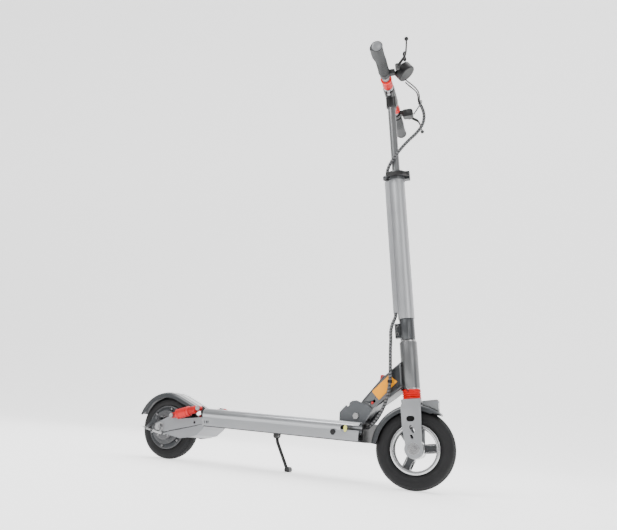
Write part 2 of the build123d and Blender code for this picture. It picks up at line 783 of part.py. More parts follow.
with BuildPart() as neck_frame:
    with BuildSketch(hinge.side):
        with BuildLine():
            Polyline((11.2, 45), (62.9, 109.1), (116.6, 157.5), (126.4, 88), (93.5, 59), (48.9, 25.8),
                     (36, 14), (10, -12), (-12, 6), close=True)
        make_face()
    extrude(amount=neck_half_width, both=True)
    side_faces = neck_frame.faces().filter_by(Axis.Y)
    fillet(side_faces.edges().filter_by(lambda edge: edge.center().Z > hinge_height + 20), 5)
    with BuildSketch(hinge.side):
        with BuildLine():
            Polyline((19, 42), (66, 103), (118, 149), (124, 88), (92, 63.5), (46, 30), close=True)
        make_face()
    extrude(amount=neck_half_width - neck_wall, both=True, mode=Mode.SUBTRACT)
    upright(head, head_tube_radius, 0, head_tube_bottom, head_tube_top)
    with BuildSketch(head.top.offset(head_tube_bottom - 1)):
        Circle(head_tube_bore)
    extrude(amount=head_tube_top - head_tube_bottom + 2, mode=Mode.SUBTRACT)
    cross_hole(hinge, 0, 0, fold_bolt_radius + running_gap, deck_half_width)
    with BuildSketch(head.top.offset(head_tube_bottom)):
        Circle(head_tube_radius + 4)
    extrude(amount=-24, mode=Mode.SUBTRACT)
    with BuildSketch(Plane(origin=hinge.side.origin, x_dir=(cos(radians(latch_angle)), 0, sin(radians(latch_angle))),
                           z_dir=(0, -1, 0))):
        with Locations((latch_reach + latch_travel / 2, 0)):
            SlotOverall(latch_travel + 2 * (latch_pin_radius + part_gap) + 1, 2 * (latch_pin_radius + part_gap))
    extrude(amount=neck_half_width + 1, both=True, mode=Mode.SUBTRACT)
neck_frame.part.label = "neck_frame"
export_step(neck_frame.part, "parts/neck_frame.step")

with BuildPart() as headset_cups:
    upright(head, head_tube_radius - 0.8, slider_radius + 0.6, head_tube_bottom - head_ring_height, head_tube_bottom)
    upright(head, head_tube_bore, steerer_radius + running_gap, 190, 200)
    upright(head, head_tube_radius - 2, steerer_radius + running_gap, head_tube_top, head_tube_top + head_ring_height)
    upright(head, head_tube_bore, steerer_radius + running_gap, head_tube_top - 8, head_tube_top)
headset_cups.part.label = "headset_cups"
export_step(headset_cups.part, "parts/headset_cups.step")

with BuildPart() as fold_lever:
    with BuildSketch(hinge.side):
        with BuildLine():
            Polyline((15.8, 58.6), (52.6, 104.4), (54.2, 119), (63, 120), (63, 116.4), (57.6, 115.4),
                     (56.4, 103), (18.4, 56.2), close=True)
        make_face()
    extrude(amount=lever_half_width, both=True)
    fillet(fold_lever.edges().filter_by(Axis.Y), 1)
fold_lever.part.label = "fold_lever"
export_step(fold_lever.part, "parts/fold_lever.step")

latch_centre = (latch_reach * cos(radians(latch_angle)), latch_reach * sin(radians(latch_angle)))
with BuildPart() as latch_pin:
    rod(hinge, *latch_centre, latch_pin_radius, -neck_half_width + 0.5, neck_half_width - 0.5)
latch_pin.part.label = "latch_pin"
export_step(latch_pin.part, "parts/latch_pin.step")

# ================= steering column =================

with BuildPart() as steerer_tube:
    upright(steer, steerer_radius, steerer_bore, steerer_bottom, clamp_top - 16)
steerer_tube.part.label = "steerer_tube"
export_step(steerer_tube.part, "parts/steerer_tube.step")

with BuildPart() as stem_clamp:
    upright(steer, clamp_radius, 0, clamp_bottom, clamp_top)
    upright(steer, column_bore, 0, clamp_top, clamp_top + 26)
    with BuildSketch(steer.top.offset(clamp_bottom + 6)):
        with Locations((-(clamp_ear_back + 10) / 2, 0)):
            Rectangle(clamp_ear_back - 10, 2 * clamp_ear_half)
    extrude(amount=clamp_ear_top - clamp_bottom - 6)
    with BuildSketch(steer.top.offset(clamp_bottom)):
        Circle(steerer_radius)
    extrude(amount=clamp_top - 16 - clamp_bottom, mode=Mode.SUBTRACT)
    with BuildSketch(steer.top.offset(clamp_bottom)):
        with Locations((-clamp_ear_back / 2 - 5, 0)):
            Rectangle(clamp_ear_back - 5, 2)
    extrude(amount=clamp_top - 16 - clamp_bottom, mode=Mode.SUBTRACT)
    for height in (clamp_bottom + 17, clamp_bottom + 41):
        cross_hole(steer, -clamp_ear_back + 6.5, height, clamp_bolt_radius, clamp_radius)
stem_clamp.part.label = "stem_clamp"
export_step(stem_clamp.part, "parts/stem_clamp.step")

with BuildPart() as clamp_bolts:
    for height in (clamp_bottom + 17, clamp_bottom + 41):
        rod(steer, -clamp_ear_back + 6.5, height, clamp_bolt_radius, -clamp_ear_half - 3, clamp_ear_half)
        rod(steer, -clamp_ear_back + 6.5, height, 5, clamp_ear_half, clamp_ear_half + 4)
        with BuildSketch(steer.side.offset(clamp_ear_half + 2)):
            with Locations((-clamp_ear_back + 6.5, height)):
                RegularPolygon(2.6, 6)
        extrude(amount=2, mode=Mode.SUBTRACT)
clamp_bolts.part.label = "clamp_bolts"
export_step(clamp_bolts.part, "parts/clamp_bolts.step")

with BuildPart() as outer_column:
    with BuildSketch(steer.top.offset(clamp_top)):
        Circle(column_radius)
        Circle(column_bore, mode=Mode.SUBTRACT)
    extrude(amount=column_top - clamp_top)
    with BuildSketch(steer.top.offset(channel_bottom)):
        with Locations((-channel_back / 2, 0)):
            Rectangle(channel_back, 2 * channel_half_width)
        Circle(column_bore, mode=Mode.SUBTRACT)
        with Locations((-(channel_back - channel_wall + channel_front) / 2, 0)):
            Rectangle(channel_back - channel_wall - channel_front, 2 * (channel_half_width - channel_wall),
                      mode=Mode.SUBTRACT)
    extrude(amount=column_top - channel_bottom)
    back_edges = outer_column.edges().filter_by(steer.up_axis).sort_by(steer.forward_axis)[0:2]
    fillet(back_edges, 4)
outer_column.part.label = "outer_column"
export_step(outer_column.part, "parts/outer_column.step")

collar_top = column_top + collar_height
with BuildPart() as qr_collar:
    with BuildSketch(steer.top.offset(column_top)):
        Circle(collar_radius)
        with Locations((-collar_flat - collar_radius / 2, 0)):
            Rectangle(collar_radius, 2 * collar_radius, mode=Mode.SUBTRACT)
        with Locations((collar_ear_front / 2, 0)):
            Rectangle(collar_ear_front, 2 * collar_ear_half)
    extrude(amount=collar_height)
    upright(steer, column_bore, 0, column_top - collar_spigot, column_top)
    with BuildSketch(steer.top.offset(column_top - collar_spigot)):
        Circle(inner_radius + running_gap)
    extrude(amount=collar_height + collar_spigot, mode=Mode.SUBTRACT)
    with BuildSketch(steer.top.offset(column_top)):
        with Locations((collar_ear_front / 2 + 6, 0)):
            Rectangle(collar_ear_front, 2)
    extrude(amount=collar_height, mode=Mode.SUBTRACT)
    with BuildSketch(steer.top.offset(column_top + 8)):
        with Locations((-guide_back, 0)):
            Circle(guide_radius + guide_wall)
            Circle(guide_radius, mode=Mode.SUBTRACT)
    extrude(amount=guide_height)
    cross_hole(steer, collar_ear_front - 7, column_top + collar_height / 2, qr_pivot_radius, collar_radius)
    rod(steer, collar_ear_front - 7, column_top + collar_height / 2, qr_pivot_radius, -collar_ear_half - 5,
        collar_ear_half + 2)
qr_collar.part.label = "qr_collar"
export_step(qr_collar.part, "parts/qr_collar.step")

qr_pivot = (collar_ear_front - 7, collar_ear_half + 9)
with BuildPart() as qr_lever:
    with BuildSketch(steer.top.offset(column_top + collar_height / 2 - 6)):
        with Locations((qr_pivot[0], -qr_pivot[1])):
            Circle(6.5)
        with BuildLine():
            Polyline((34, -23.5), (20, -32), (2, -36.5), (-20, -36), (-26, -33), (-26, -30.5), (-18, -31.5),
                     (2, -31.5), (17, -26.5), (29, -15.5), (36, -13), close=True)
        make_face()
    extrude(amount=12)
    fillet(qr_lever.faces().sort_by(steer.up_axis)[-1].edges(), 1)
qr_lever.part.label = "qr_lever"
export_step(qr_lever.part, "parts/qr_lever.step")

with BuildPart() as inner_column:
    upright(steer, inner_radius, inner_bore, inner_bottom, column_out - block_radius)
inner_column.part.label = "inner_column"
export_step(inner_column.part, "parts/inner_column.step")

# ================= fork and front wheel =================

with BuildPart() as fork:
    for side in (1, -1):
        with BuildSketch(steer.side.offset(side * leg_inner)):
            Circle(dropout_radius)
            with BuildLine():
                Polyline((-21.5, 8), (-27, 60), (-27.5, 112), (-20, crown_top), (27.5, crown_top), (26, 90),
                         (24, 50), (21.5, 8), close=True)
            make_face()
            Circle(axle_radius, mode=Mode.SUBTRACT)
            with Locations((-3, 79)):
                SlotOverall(22, 15, mode=Mode.SUBTRACT)
            with Locations((-1, 52)):
                SlotOverall(22, 9, rotation=115, mode=Mode.SUBTRACT)
            with Locations((-3, 31)):
                SlotOverall(13, 7, rotation=115, mode=Mode.SUBTRACT)
        extrude(amount=side * leg_thickness)
        with BuildSketch(steer.side.offset(side * (leg_inner + leg_thickness))):
            Circle(dropout_radius - 7)
            Circle(axle_radius, mode=Mode.SUBTRACT)
        extrude(amount=side * 1.5)
    with BuildSketch(steer.top.offset(crown_bottom)):
        RectangleRounded(52, 2 * (leg_inner + 1), 4)
    extrude(amount=crown_top - crown_bottom)
    upright(steer, slider_radius, 0, crown_top, slider_top)
    with BuildSketch(steer.top.offset(crown_bottom)):
        Circle(steerer_radius + running_gap)
    extrude(amount=slider_top - crown_bottom, mode=Mode.SUBTRACT)
fork.part.label = "fork"
export_step(fork.part, "parts/fork.step")

bellows_top = head_tube_bottom - head_ring_height
with BuildPart() as bellows:
    folds = 3
    pitch = (bellows_top - crown_top - 2) / folds
    with BuildSketch(steer.side):
        with BuildLine():
            profile = [(slider_radius + 1, crown_top), (24.5, crown_top)]
            for fold in range(folds):
                base = crown_top + 1 + fold * pitch
                profile += [(25.4, base + pitch * 0.3), (25.4, base + pitch * 0.6), (23.6, base + pitch * 0.9)]
            profile += [(24.6, bellows_top), (slider_radius + 1, bellows_top)]
            Polyline(*profile, close=True)
        make_face()
    revolve(axis=steer.up_axis)
bellows.part.label = "bellows"
export_step(bellows.part, "parts/bellows.step")

front_fender_inner = front_tyre_radius + fender_gap
front_fender_outer = front_fender_inner + fender_wall
with BuildPart() as front_fender:
    fender_plane = steer.radial(front_fender_start)
    arch = fender_section(fender_plane, fender_half_width, front_fender_inner, front_fender_outer, 17, fender_wall)
    revolve(arch, axis=Axis(steer.top.origin, -steer.top.y_dir), revolution_arc=front_fender_end - front_fender_start)
    with BuildSketch(steer.side):
        with BuildLine():
            Polyline((24, 88), (40, 88.5), (84, 86), (84, 40), (24, 40), close=True)
        make_face()
    extrude(amount=fender_half_width + 1, both=True, mode=Mode.SUBTRACT)
front_fender.part.label = "front_fender"
export_step(front_fender.part, "parts/front_fender.step")

lamp_floor = front_fender_outer + plate_gap
with BuildPart() as headlamp:
    with BuildSketch(steer.side):
        with BuildLine():
            Polyline((lamp_back, 100), (lamp_back, 127), (lamp_front - 3, 128.5), (lamp_front, 126),
                     (lamp_front - 1, 93), close=True)
        make_face()
    extrude(amount=lamp_half_width, both=True)
    fillet(headlamp.edges().filter_by(steer.left_axis).sort_by(steer.up_axis)[-2:], 1.5)
    with BuildSketch(steer.side):
        Circle(lamp_floor)
    extrude(amount=fender_half_width, both=True, mode=Mode.SUBTRACT)
    with BuildSketch(steer.front.offset(lamp_front - 4)):
        with Locations((0, 113.5)):
            RectangleRounded(36, 20, 4)
    extrude(amount=6, mode=Mode.SUBTRACT)
headlamp.part.label = "headlamp"
export_step(headlamp.part, "parts/headlamp.step")

with BuildPart() as headlamp_lens:
    with BuildSketch(steer.front.offset(lamp_front - 4)):
        with Locations((0, 113.5)):
            RectangleRounded(36, 20, 4)
    extrude(amount=3)
headlamp_lens.part.label = "headlamp_lens"
export_step(headlamp_lens.part, "parts/headlamp_lens.step")

leg_outer = leg_inner + leg_thickness + 1.5
with BuildPart() as front_axle_set:
    rod(steer, 0, 0, axle_radius, -front_axle_half, front_axle_half)
    for side in (1, -1):
        hexagon_nut(steer, 0, 0, 17, axle_radius, side * leg_outer, side * (front_axle_half - 1))
        with BuildSketch(steer.side.offset(side * (hub_half_width + part_gap))):
            Circle(10)
            Circle(axle_radius, mode=Mode.SUBTRACT)
        extrude(amount=side * (leg_inner - hub_half_width - part_gap))
front_axle_set.part.label = "front_axle"
export_step(front_axle_set.part, "parts/front_axle.step")

crown_half = 12
with BuildPart() as front_tyre:
    half = front_tyre_width / 2
    top = front_tyre_radius
    bead = front_bead_radius
    turned(steer, ((-17, bead), (-20.5, bead + 3), (-half, bead + 14), (-half, top - 16), (-half + 5, top - 6),
                   (-crown_half, top - 1.4), (0, top), (crown_half, top - 1.4), (half - 5, top - 6),
                   (half, top - 16), (half, bead + 14), (20.5, bead + 3), (17, bead), (13.5, bead),
                   (16, bead + 8), (18.5, bead + 18), (14, top - 12), (0, top - 8), (-14, top - 12),
                   (-18.5, bead + 18), (-16, bead + 8), (-13.5, bead)))
front_tyre.part.label = "front_tyre"
export_step(front_tyre.part, "parts/front_tyre.step")

with BuildPart() as front_rim:
    barrel = rim_barrel_radius
    turned(steer, ((-20, barrel - 3), (-20, bead - 0.5), (-17.5, bead), (-17.5, bead - 1), (-13, barrel + 3),
                   (13, barrel + 3), (17.5, bead - 1), (17.5, bead), (20, bead - 0.5), (20, barrel - 3),
                   (13, barrel), (-13, barrel)))
    with BuildSketch(steer.side):
        Circle(hub_radius)
    extrude(amount=hub_half_width, both=True)
    with BuildSketch(steer.side):
        with PolarLocations((barrel + hub_radius) / 2, 3, start_angle=0):
            Rectangle(barrel - hub_radius + 6, spoke_width)
    extrude(amount=spoke_half_thickness, both=True)
    for side in (1, -1):
        with BuildSketch(steer.side.offset(side * (spoke_half_thickness - 4))):
            with PolarLocations((barrel + hub_radius) / 2, 3, start_angle=0):
                RectangleRounded(barrel - hub_radius - 8, spoke_width - 7, 3)
        extrude(amount=side * 6, mode=Mode.SUBTRACT)
    with BuildSketch(steer.side):
        Circle(axle_radius + running_gap)
    extrude(amount=hub_half_width, both=True, mode=Mode.SUBTRACT)
front_rim.part.label = "front_rim"
export_step(front_rim.part, "parts/front_rim.step")

# ================= handlebar =================

bar = Frame(steer.point(0, 0, column_out), steer.top.x_dir, steer.top.z_dir)

with BuildPart() as bar_block:
    rod(bar, 0, 0, block_radius, -block_half_length, block_half_length)
    fillet(bar_block.edges().filter_by(GeomType.CIRCLE), 1.5)
    upright(bar, inner_radius + 4, 0, block_socket_bottom - column_out, 0)
    for side in (1, -1):
        ear_inner = block_half_length - 9
        for face in (1, -1):
            with BuildSketch(bar.front.offset(face * (lug_half + plate_gap))):
                with Locations((-side * bar_pivot_out, -bar_pivot_drop)):
                    Circle(5)
                with BuildLine():
                    Polyline((-side * ear_inner, -bar_pivot_drop - 5), (-side * bar_pivot_out, -bar_pivot_drop - 5),
                             (-side * bar_pivot_out, -bar_pivot_drop + 5), (-side * block_half_length, -10),
                             (-side * ear_inner, -10), close=True)
                make_face()
            extrude(amount=face * ear_thickness)
    for side in (1, -1):
        with BuildSketch(bar.side.offset(side * (block_half_length + 0.01))):
            Circle(hinge_collar_radius + part_gap)
        extrude(amount=side * 30, mode=Mode.SUBTRACT)
        with BuildSketch(bar.front):
            with Locations((-side * (ear_inner + 10), -bar_pivot_drop + 2)):
                Rectangle(20, 18)
        extrude(amount=lug_half + plate_gap, both=True, mode=Mode.SUBTRACT)
        with BuildSketch(bar.front):
            with Locations((-side * bar_pivot_out, -bar_pivot_drop)):
                Circle(bar_pin_radius)
        extrude(amount=lug_half + plate_gap + ear_thickness, both=True)
    with BuildSketch(bar.top):
        Circle(inner_radius)
    extrude(amount=block_socket_bottom - column_out, mode=Mode.SUBTRACT)
    with BuildSketch(bar.top.offset(-block_radius)):
        Circle(inner_radius - 0.01)
    extrude(amount=block_radius)
bar_block.part.label = "bar_block"
export_step(bar_block.part, "parts/bar_block.step")


def bar_half(side):
    """Adds one folding bar half: tube, hinge collar and lug."""
    with BuildSketch(bar.side.offset(side * (hinge_collar_end - 4))) as outline:
        Circle(bar_radius)
        Circle(bar_radius - bar_wall, mode=Mode.SUBTRACT)
    extrude(outline.sketch, amount=side * (bar_end - hinge_collar_end + 4))
    with BuildSketch(bar.side.offset(side * (bar_pivot_out + part_gap))) as outline:
        Circle(hinge_collar_radius)
    extrude(outline.sketch, amount=side * (hinge_collar_end - bar_pivot_out - part_gap))
    with BuildSketch(bar.front) as outline:
        with Locations((-side * bar_pivot_out, -bar_pivot_drop)):
            Circle(5)
        with BuildLine():
            Polyline((-side * (bar_pivot_out - 1), -bar_pivot_drop - 5), (-side * (bar_pivot_out + 9), -12),
                     (-side * (bar_pivot_out + 1), -8), (-side * (bar_pivot_out + part_gap), -bar_pivot_drop),
                     close=True)
        make_face()
    extrude(outline.sketch, amount=lug_half, both=True)
    with BuildSketch(bar.front) as outline:
        with Locations((-side * bar_pivot_out, -bar_pivot_drop)):
            Circle(bar_pin_radius + running_gap)
    extrude(outline.sketch, amount=hinge_collar_radius, both=True, mode=Mode.SUBTRACT)


def sleeve(side):
    """Adds one sliding lock sleeve with a raised rim at its outer end."""
    start = side * sleeve_start
    with BuildSketch(bar.side.offset(start)) as outline:
        Circle(sleeve_radius - 1)
        Circle(bar_radius + running_gap, mode=Mode.SUBTRACT)
    extrude(outline.sketch, amount=side * sleeve_length)
    with BuildSketch(bar.side.offset(side * (sleeve_start + sleeve_length - 5))) as outline:
        Circle(sleeve_radius)
        Circle(bar_radius + running_gap, mode=Mode.SUBTRACT)
    extrude(outline.sketch, amount=side * 5)


def grip(side):
    """Adds one rubber grip with a palm wing to the rear and a closed end."""
    with BuildSketch(bar.side.offset(side * grip_start)) as outline:
        Circle(grip_radius)
        with BuildLine():
            Polyline((-4, 12), (-20, 2), (-22, -8), (-14, -14), (0, -14), close=True)
        make_face()
    extrude(outline.sketch, amount=side * (grip_end - grip_start))
    with BuildSketch(bar.side.offset(side * grip_start)) as outline:
        Circle(bar_radius)
    extrude(outline.sketch, amount=side * (bar_end - grip_start), mode=Mode.SUBTRACT)


def pod_ring(side):
    """Adds a control's clamp ring round the bar, with its arm reaching forward."""
    with BuildSketch(bar.side.offset(side * pod_start)) as outline:
        Circle(bar_radius + 4)
        with Locations((16, 0)):
            RectangleRounded(30, 13, 4)
        Circle(bar_radius, mode=Mode.SUBTRACT)
    extrude(outline.sketch, amount=side * (pod_end - pod_start))


with BuildPart() as handlebar_right:
    bar_half(1)
handlebar_right.part.label = "handlebar_right"
export_step(handlebar_right.part, "parts/handlebar_right.step")

with BuildPart() as handlebar_left:
    bar_half(-1)
handlebar_left.part.label = "handlebar_left"
export_step(handlebar_left.part, "parts/handlebar_left.step")

with BuildPart() as lock_sleeve_right:
    sleeve(1)
lock_sleeve_right.part.label = "lock_sleeve_right"
export_step(lock_sleeve_right.part, "parts/lock_sleeve_right.step")

with BuildPart() as lock_sleeve_left:
    sleeve(-1)
lock_sleeve_left.part.label = "lock_sleeve_left"
export_step(lock_sleeve_left.part, "parts/lock_sleeve_left.step")

with BuildPart() as grip_right:
    grip(1)
grip_right.part.label = "grip_right"
export_step(grip_right.part, "parts/grip_right.step")

with BuildPart() as grip_left:
    grip(-1)
grip_left.part.label = "grip_left"
export_step(grip_left.part, "parts/grip_left.step")

# display centre, in the bar frame: forward, across to the right, up
display_centre = (56, 118, 7)
display_tilt = 37
with BuildPart() as control_pod_right:
    pod_ring(1)
    display_plane = Plane(origin=bar.point(display_centre[0], -display_centre[1], display_centre[2]),
                          x_dir=-bar.top.y_dir, z_dir=bar.top.z_dir * cos(radians(display_tilt))
                          - bar.top.x_dir * sin(radians(display_tilt)))
    with BuildSketch(display_plane.offset(-display_thickness / 2)):
        Circle(display_radius)
    extrude(amount=display_thickness)
    fillet(control_pod_right.edges().filter_by(GeomType.CIRCLE).group_by(SortBy.RADIUS)[-1], 3)
control_pod_right.part.label = "control_pod_right"
export_step(control_pod_right.part, "parts/control_pod_right.step")

with BuildPart() as control_pod_left:
    pod_ring(-1)
    with BuildSketch(bar.side.offset(-pod_end + 2)):
        with Locations((38, -8)):
            RectangleRounded(34, 24, 8)
    extrude(amount=26)
control_pod_left.part.label = "control_pod_left"
export_step(control_pod_left.part, "parts/control_pod_left.step")


def brake_lever(side, pivot, knee, tip):
    """Adds a bent lever blade with a ball end, from (forward, up, out) points in the bar frame."""
    points = [bar.point(forward, -side * out, up) for forward, up, out in (pivot, knee, tip)]
    with BuildLine() as blade:
        FilletPolyline(*points, radius=25)
    with BuildSketch(Plane(origin=blade.line @ 0, x_dir=bar.top.z_dir, z_dir=blade.line % 0)) as outline:
        RectangleRounded(11, 5.5, 2)
    sweep(outline.sketch, path=blade.line)
    with Locations(points[2]):
        Sphere(6)
    with BuildSketch(bar.side.offset(side * pivot[2])) as outline:
        with Locations((pivot[0], pivot[1])):
            Circle(6.5)
    extrude(outline.sketch, amount=side * 9, both=True)


lever_pivot_right = (40, 4, 158)
lever_pivot_left = (40, -4, 158)
with BuildPart() as brake_lever_right:
    brake_lever(1, lever_pivot_right, (66, 22, 182), (77, 41, 236))
brake_lever_right.part.label = "brake_lever_right"
export_step(brake_lever_right.part, "parts/brake_lever_right.step")

with BuildPart() as brake_lever_left:
    brake_lever(-1, lever_pivot_left, (66, -14, 182), (73, -27, 236))
brake_lever_left.part.label = "brake_lever_left"
export_step(brake_lever_left.part, "parts/brake_lever_left.step")

trigger_pivot = (62, 28, 150)
with BuildPart() as throttle_trigger:
    with BuildSketch(bar.side.offset(trigger_pivot[2] - 3)):
        with Locations((trigger_pivot[0], trigger_pivot[1])):
            Circle(5)
        with BuildLine():
            Polyline((58, 31), (57, 44), (60, 51), (65, 52), (64, 44), (66.5, 30), close=True)
        make_face()
    extrude(amount=7)
throttle_trigger.part.label = "throttle_trigger"
export_step(throttle_trigger.part, "parts/throttle_trigger.step")

# ================= cords =================


def cord_radii(points):
    """Gives one radius per corner, as large as its two runs allow."""
    radii = []
    for before, corner, after in zip(points, points[1:], points[2:]):
        run_in = corner - before
        run_out = after - corner
        half_turn = radians(run_in.get_angle(run_out) / 2)
        radii.append(0.45 * min(run_in.length, run_out.length) / tan(half_turn))
    return radii


def cord(name, points, radius):
    """Adds a cord's tube: straight runs joined by tangent arcs, and prints its radii and volume."""
    radii = cord_radii(points)
    with BuildLine() as route:
        FilletPolyline(*points, radius=radii)
    with BuildSketch(Plane(origin=route.line @ 0, z_dir=route.line % 0)) as outline:
        Circle(radius)
    tube = sweep(outline.sketch, path=route.line)
    length = route.wire().length
    print(name, "radii", [round(r) for r in radii], "length", round(length),
          "volume ratio", round(tube.volume / (pi * radius ** 2 * length), 3))


# Routes in the steering frame: forward, left, up from the front axle.
upper_loom_route = ((86, -10, 1012), (95, -9, 990), (97, -9, 964), (89, -11, 937), (71, -15, 914), (48, -19, 894),
                    (26, -21, 873), (7, -20, 852), (-11, -16, 832), (-25, -8, 810), (-28.5, -1, 786), (-28.5, 0, 762))
control_routes = (
    ((58, -124, 1034), (69, -104, 1031), (78, -80, 1032), (85, -55, 1033), (88, -33, 1031), (87, -17, 1024),
     (85.5, -9.5, 1013)),
    ((57, -119, 1028), (67, -100, 1024), (76, -77, 1025), (82, -54, 1027), (84, -34, 1026), (83, -20, 1021),
     (83, -12, 1013)),
    ((57, 130, 1046), (67, 122, 1055), (78, 104, 1060), (86, 78, 1055), (90, 50, 1046), (90, 24, 1036),
     (89, 3, 1027), (87, -8, 1013)),
)
lower_loom_top = ((-28.5, 0, 392), (-28.7, -0.3, 371), (-35, -4, 357), (-42, -9, 341), (-45.5, -16, 321),
                  (-45, -24, 299))
# Routes in the row frame.
lower_loom_row = ((327.5, -36.5, 373), (331, -39.5, 343), (334, -41.5, 312), (335.5, -42, 281), (333.5, -43, 252),
                  (327.5, -43.5, 225), (318, -43, 201), (307, -40.5, 182), (296, -40, 167), (285.2, -39.5, 157.5))
lamp_wire_row = ((337, -36.2, 254), (345, -38, 264), (355, -39, 272), (367, -38, 275), (378, -33, 271), (385, -27, 260))

with BuildPart() as upper_loom:
    cord("upper_loom", [steer.point(*p) for p in upper_loom_route], loom_radius)
upper_loom.part.label = "upper_loom"
export_step(upper_loom.part, "parts/upper_loom.step")

with BuildPart() as control_cables:
    for route in control_routes:
        cord("control_cable", [steer.point(*p) for p in route], cable_radius)
control_cables.part.label = "control_cables"
export_step(control_cables.part, "parts/control_cables.step")

with BuildPart() as lower_loom:
    cord("lower_loom", [steer.point(*p) for p in lower_loom_top] + [Vector(*p) for p in lower_loom_row], loom_radius)
lower_loom.part.label = "lower_loom"
export_step(lower_loom.part, "parts/lower_loom.step")

with BuildPart() as lamp_wire:
    cord("lamp_wire", [Vector(*p) for p in lamp_wire_row], lamp_wire_radius)
lamp_wire.part.label = "lamp_wire"
export_step(lamp_wire.part, "parts/lamp_wire.step")
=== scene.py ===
"""Looks of an electric kick scooter: surfaces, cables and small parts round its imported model."""

import json
from math import cos, pi, radians, sin

import bmesh
import bpy
from mathutils import Matrix, Vector


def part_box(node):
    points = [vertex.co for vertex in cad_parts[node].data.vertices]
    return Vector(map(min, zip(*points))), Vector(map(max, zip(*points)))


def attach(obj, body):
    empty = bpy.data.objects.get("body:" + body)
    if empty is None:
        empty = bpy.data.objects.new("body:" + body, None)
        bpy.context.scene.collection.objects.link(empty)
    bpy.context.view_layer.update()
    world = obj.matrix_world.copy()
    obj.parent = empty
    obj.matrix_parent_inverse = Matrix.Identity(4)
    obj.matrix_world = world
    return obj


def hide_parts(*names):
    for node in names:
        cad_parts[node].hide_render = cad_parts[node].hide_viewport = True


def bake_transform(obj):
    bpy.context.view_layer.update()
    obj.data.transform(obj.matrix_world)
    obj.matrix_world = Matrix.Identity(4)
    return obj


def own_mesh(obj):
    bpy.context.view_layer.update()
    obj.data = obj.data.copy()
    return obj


bl_info = {
    "name": "Electric Kick Scooter",
    "version": (1, 0, 0),
    "blender": (4, 5, 0),
    "location": "View3D > Sidebar > Scooter",
    "description": "Builds the tyres, grips, fenders, cables, small parts and finishes of an electric kick scooter",
    "category": "Object",
}

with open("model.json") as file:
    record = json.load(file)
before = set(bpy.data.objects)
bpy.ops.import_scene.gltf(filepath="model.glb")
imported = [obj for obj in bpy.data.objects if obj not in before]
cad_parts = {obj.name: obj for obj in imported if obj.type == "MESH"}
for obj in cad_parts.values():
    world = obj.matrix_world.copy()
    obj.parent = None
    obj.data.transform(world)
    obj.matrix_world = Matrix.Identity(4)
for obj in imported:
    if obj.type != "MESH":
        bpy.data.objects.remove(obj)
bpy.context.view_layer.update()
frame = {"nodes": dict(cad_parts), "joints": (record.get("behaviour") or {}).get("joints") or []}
joints = {joint["name"]: joint for joint in frame["joints"]}
MM = 0.001


# ---------------------------------------------------------------- places

class Axes:
    """An origin with forward, left and up directions. Lengths are in millimetres."""

    def __init__(self, origin, forward, left, up):
        self.origin, self.forward, self.left, self.up = Vector(origin), Vector(forward), Vector(left), Vector(up)

    def at(self, forward, left=0.0, up=0.0):
        return self.origin + (self.forward * forward + self.left * left + self.up * up) * MM

    def moved(self, forward, left=0.0, up=0.0):
        return Axes(self.at(forward, left, up), self.forward, self.left, self.up)

    def upright(self):
        """The same place with its cross direction pointing up, for pieces turned about the up direction."""
        return Axes(self.origin, self.forward, self.up, -self.left)

    def lengthwise(self):
        """The same place with its cross direction pointing forward."""
        return Axes(self.origin, self.up, self.forward, self.left)

    def mirrored(self):
        """The same place seen from the other side: left and forward swap their signs."""
        return Axes(self.origin, -self.forward, -self.left, self.up)

    def tilted(self, angle):
        """Turned in the side plane, forward towards up."""
        c, s = cos(radians(angle)), sin(radians(angle))
        return Axes(self.origin, self.forward * c + self.up * s, self.left, self.up * c - self.forward * s)


steer_up = Vector(joints["steering"]["axis"]).normalized()
steer_left = Vector(joints["front_wheel_spin"]["axis"]).normalized()
FRONT = Axes(joints["steering"]["pos_m"], steer_left.cross(steer_up), steer_left, steer_up)
REAR = Axes(joints["rear_wheel_spin"]["pos_m"], (1, 0, 0), (0, 1, 0), (0, 0, 1))
HINGE = Axes(joints["stem_fold"]["pos_m"], (1, 0, 0), (0, 1, 0), (0, 0, 1))
bar_pivots = [Vector(joints[name]["pos_m"]) for name in ("right_bar_fold", "left_bar_fold")]
BAR_PIVOT_DROP = 21.5
BAR = Axes((bar_pivots[0] + bar_pivots[1]) / 2 + steer_up * BAR_PIVOT_DROP * MM, FRONT.forward, steer_left,
           steer_up)
SHOCK_OUT = 70
SHOCK_LENGTH = 97.3
SHOCK_WASHER_OUT = 6.4
shock_stroke = Vector(joints["shock_stroke"]["axis"]).normalized()
SHOCK = Axes(joints["shock_swing"]["pos_m"], -shock_stroke, (0, 1, 0), (-shock_stroke).cross(Vector((0, 1, 0))))


FRONT_TYRE_RADIUS, FRONT_TYRE_HALF = 108, 25
REAR_TYRE_RADIUS, REAR_TYRE_HALF = 97, 23
SPOKE_COUNT = 3
MOTOR_SCREW_COUNT, MOTOR_SCREW_REACH = 6, 58
FRONT_FENDER_RADIUS, FRONT_FENDER_HALF = 119.5, 34
REAR_FENDER_RADIUS, REAR_FENDER_HALF = 109.5, 36
BOOT_BOTTOM, BOOT_TOP = 131.2, 160.0
GRIP_START, GRIP_END = 150.0, 290.0
STUD_PITCH = 9.5
SIDES = ((-1, "right"), (1, "left"))
LAMP_FACE = 68.0
DISPLAY_TILT = 37
DISPLAY_PLACE = (56, -118, 7)


# ---------------------------------------------------------------- settings

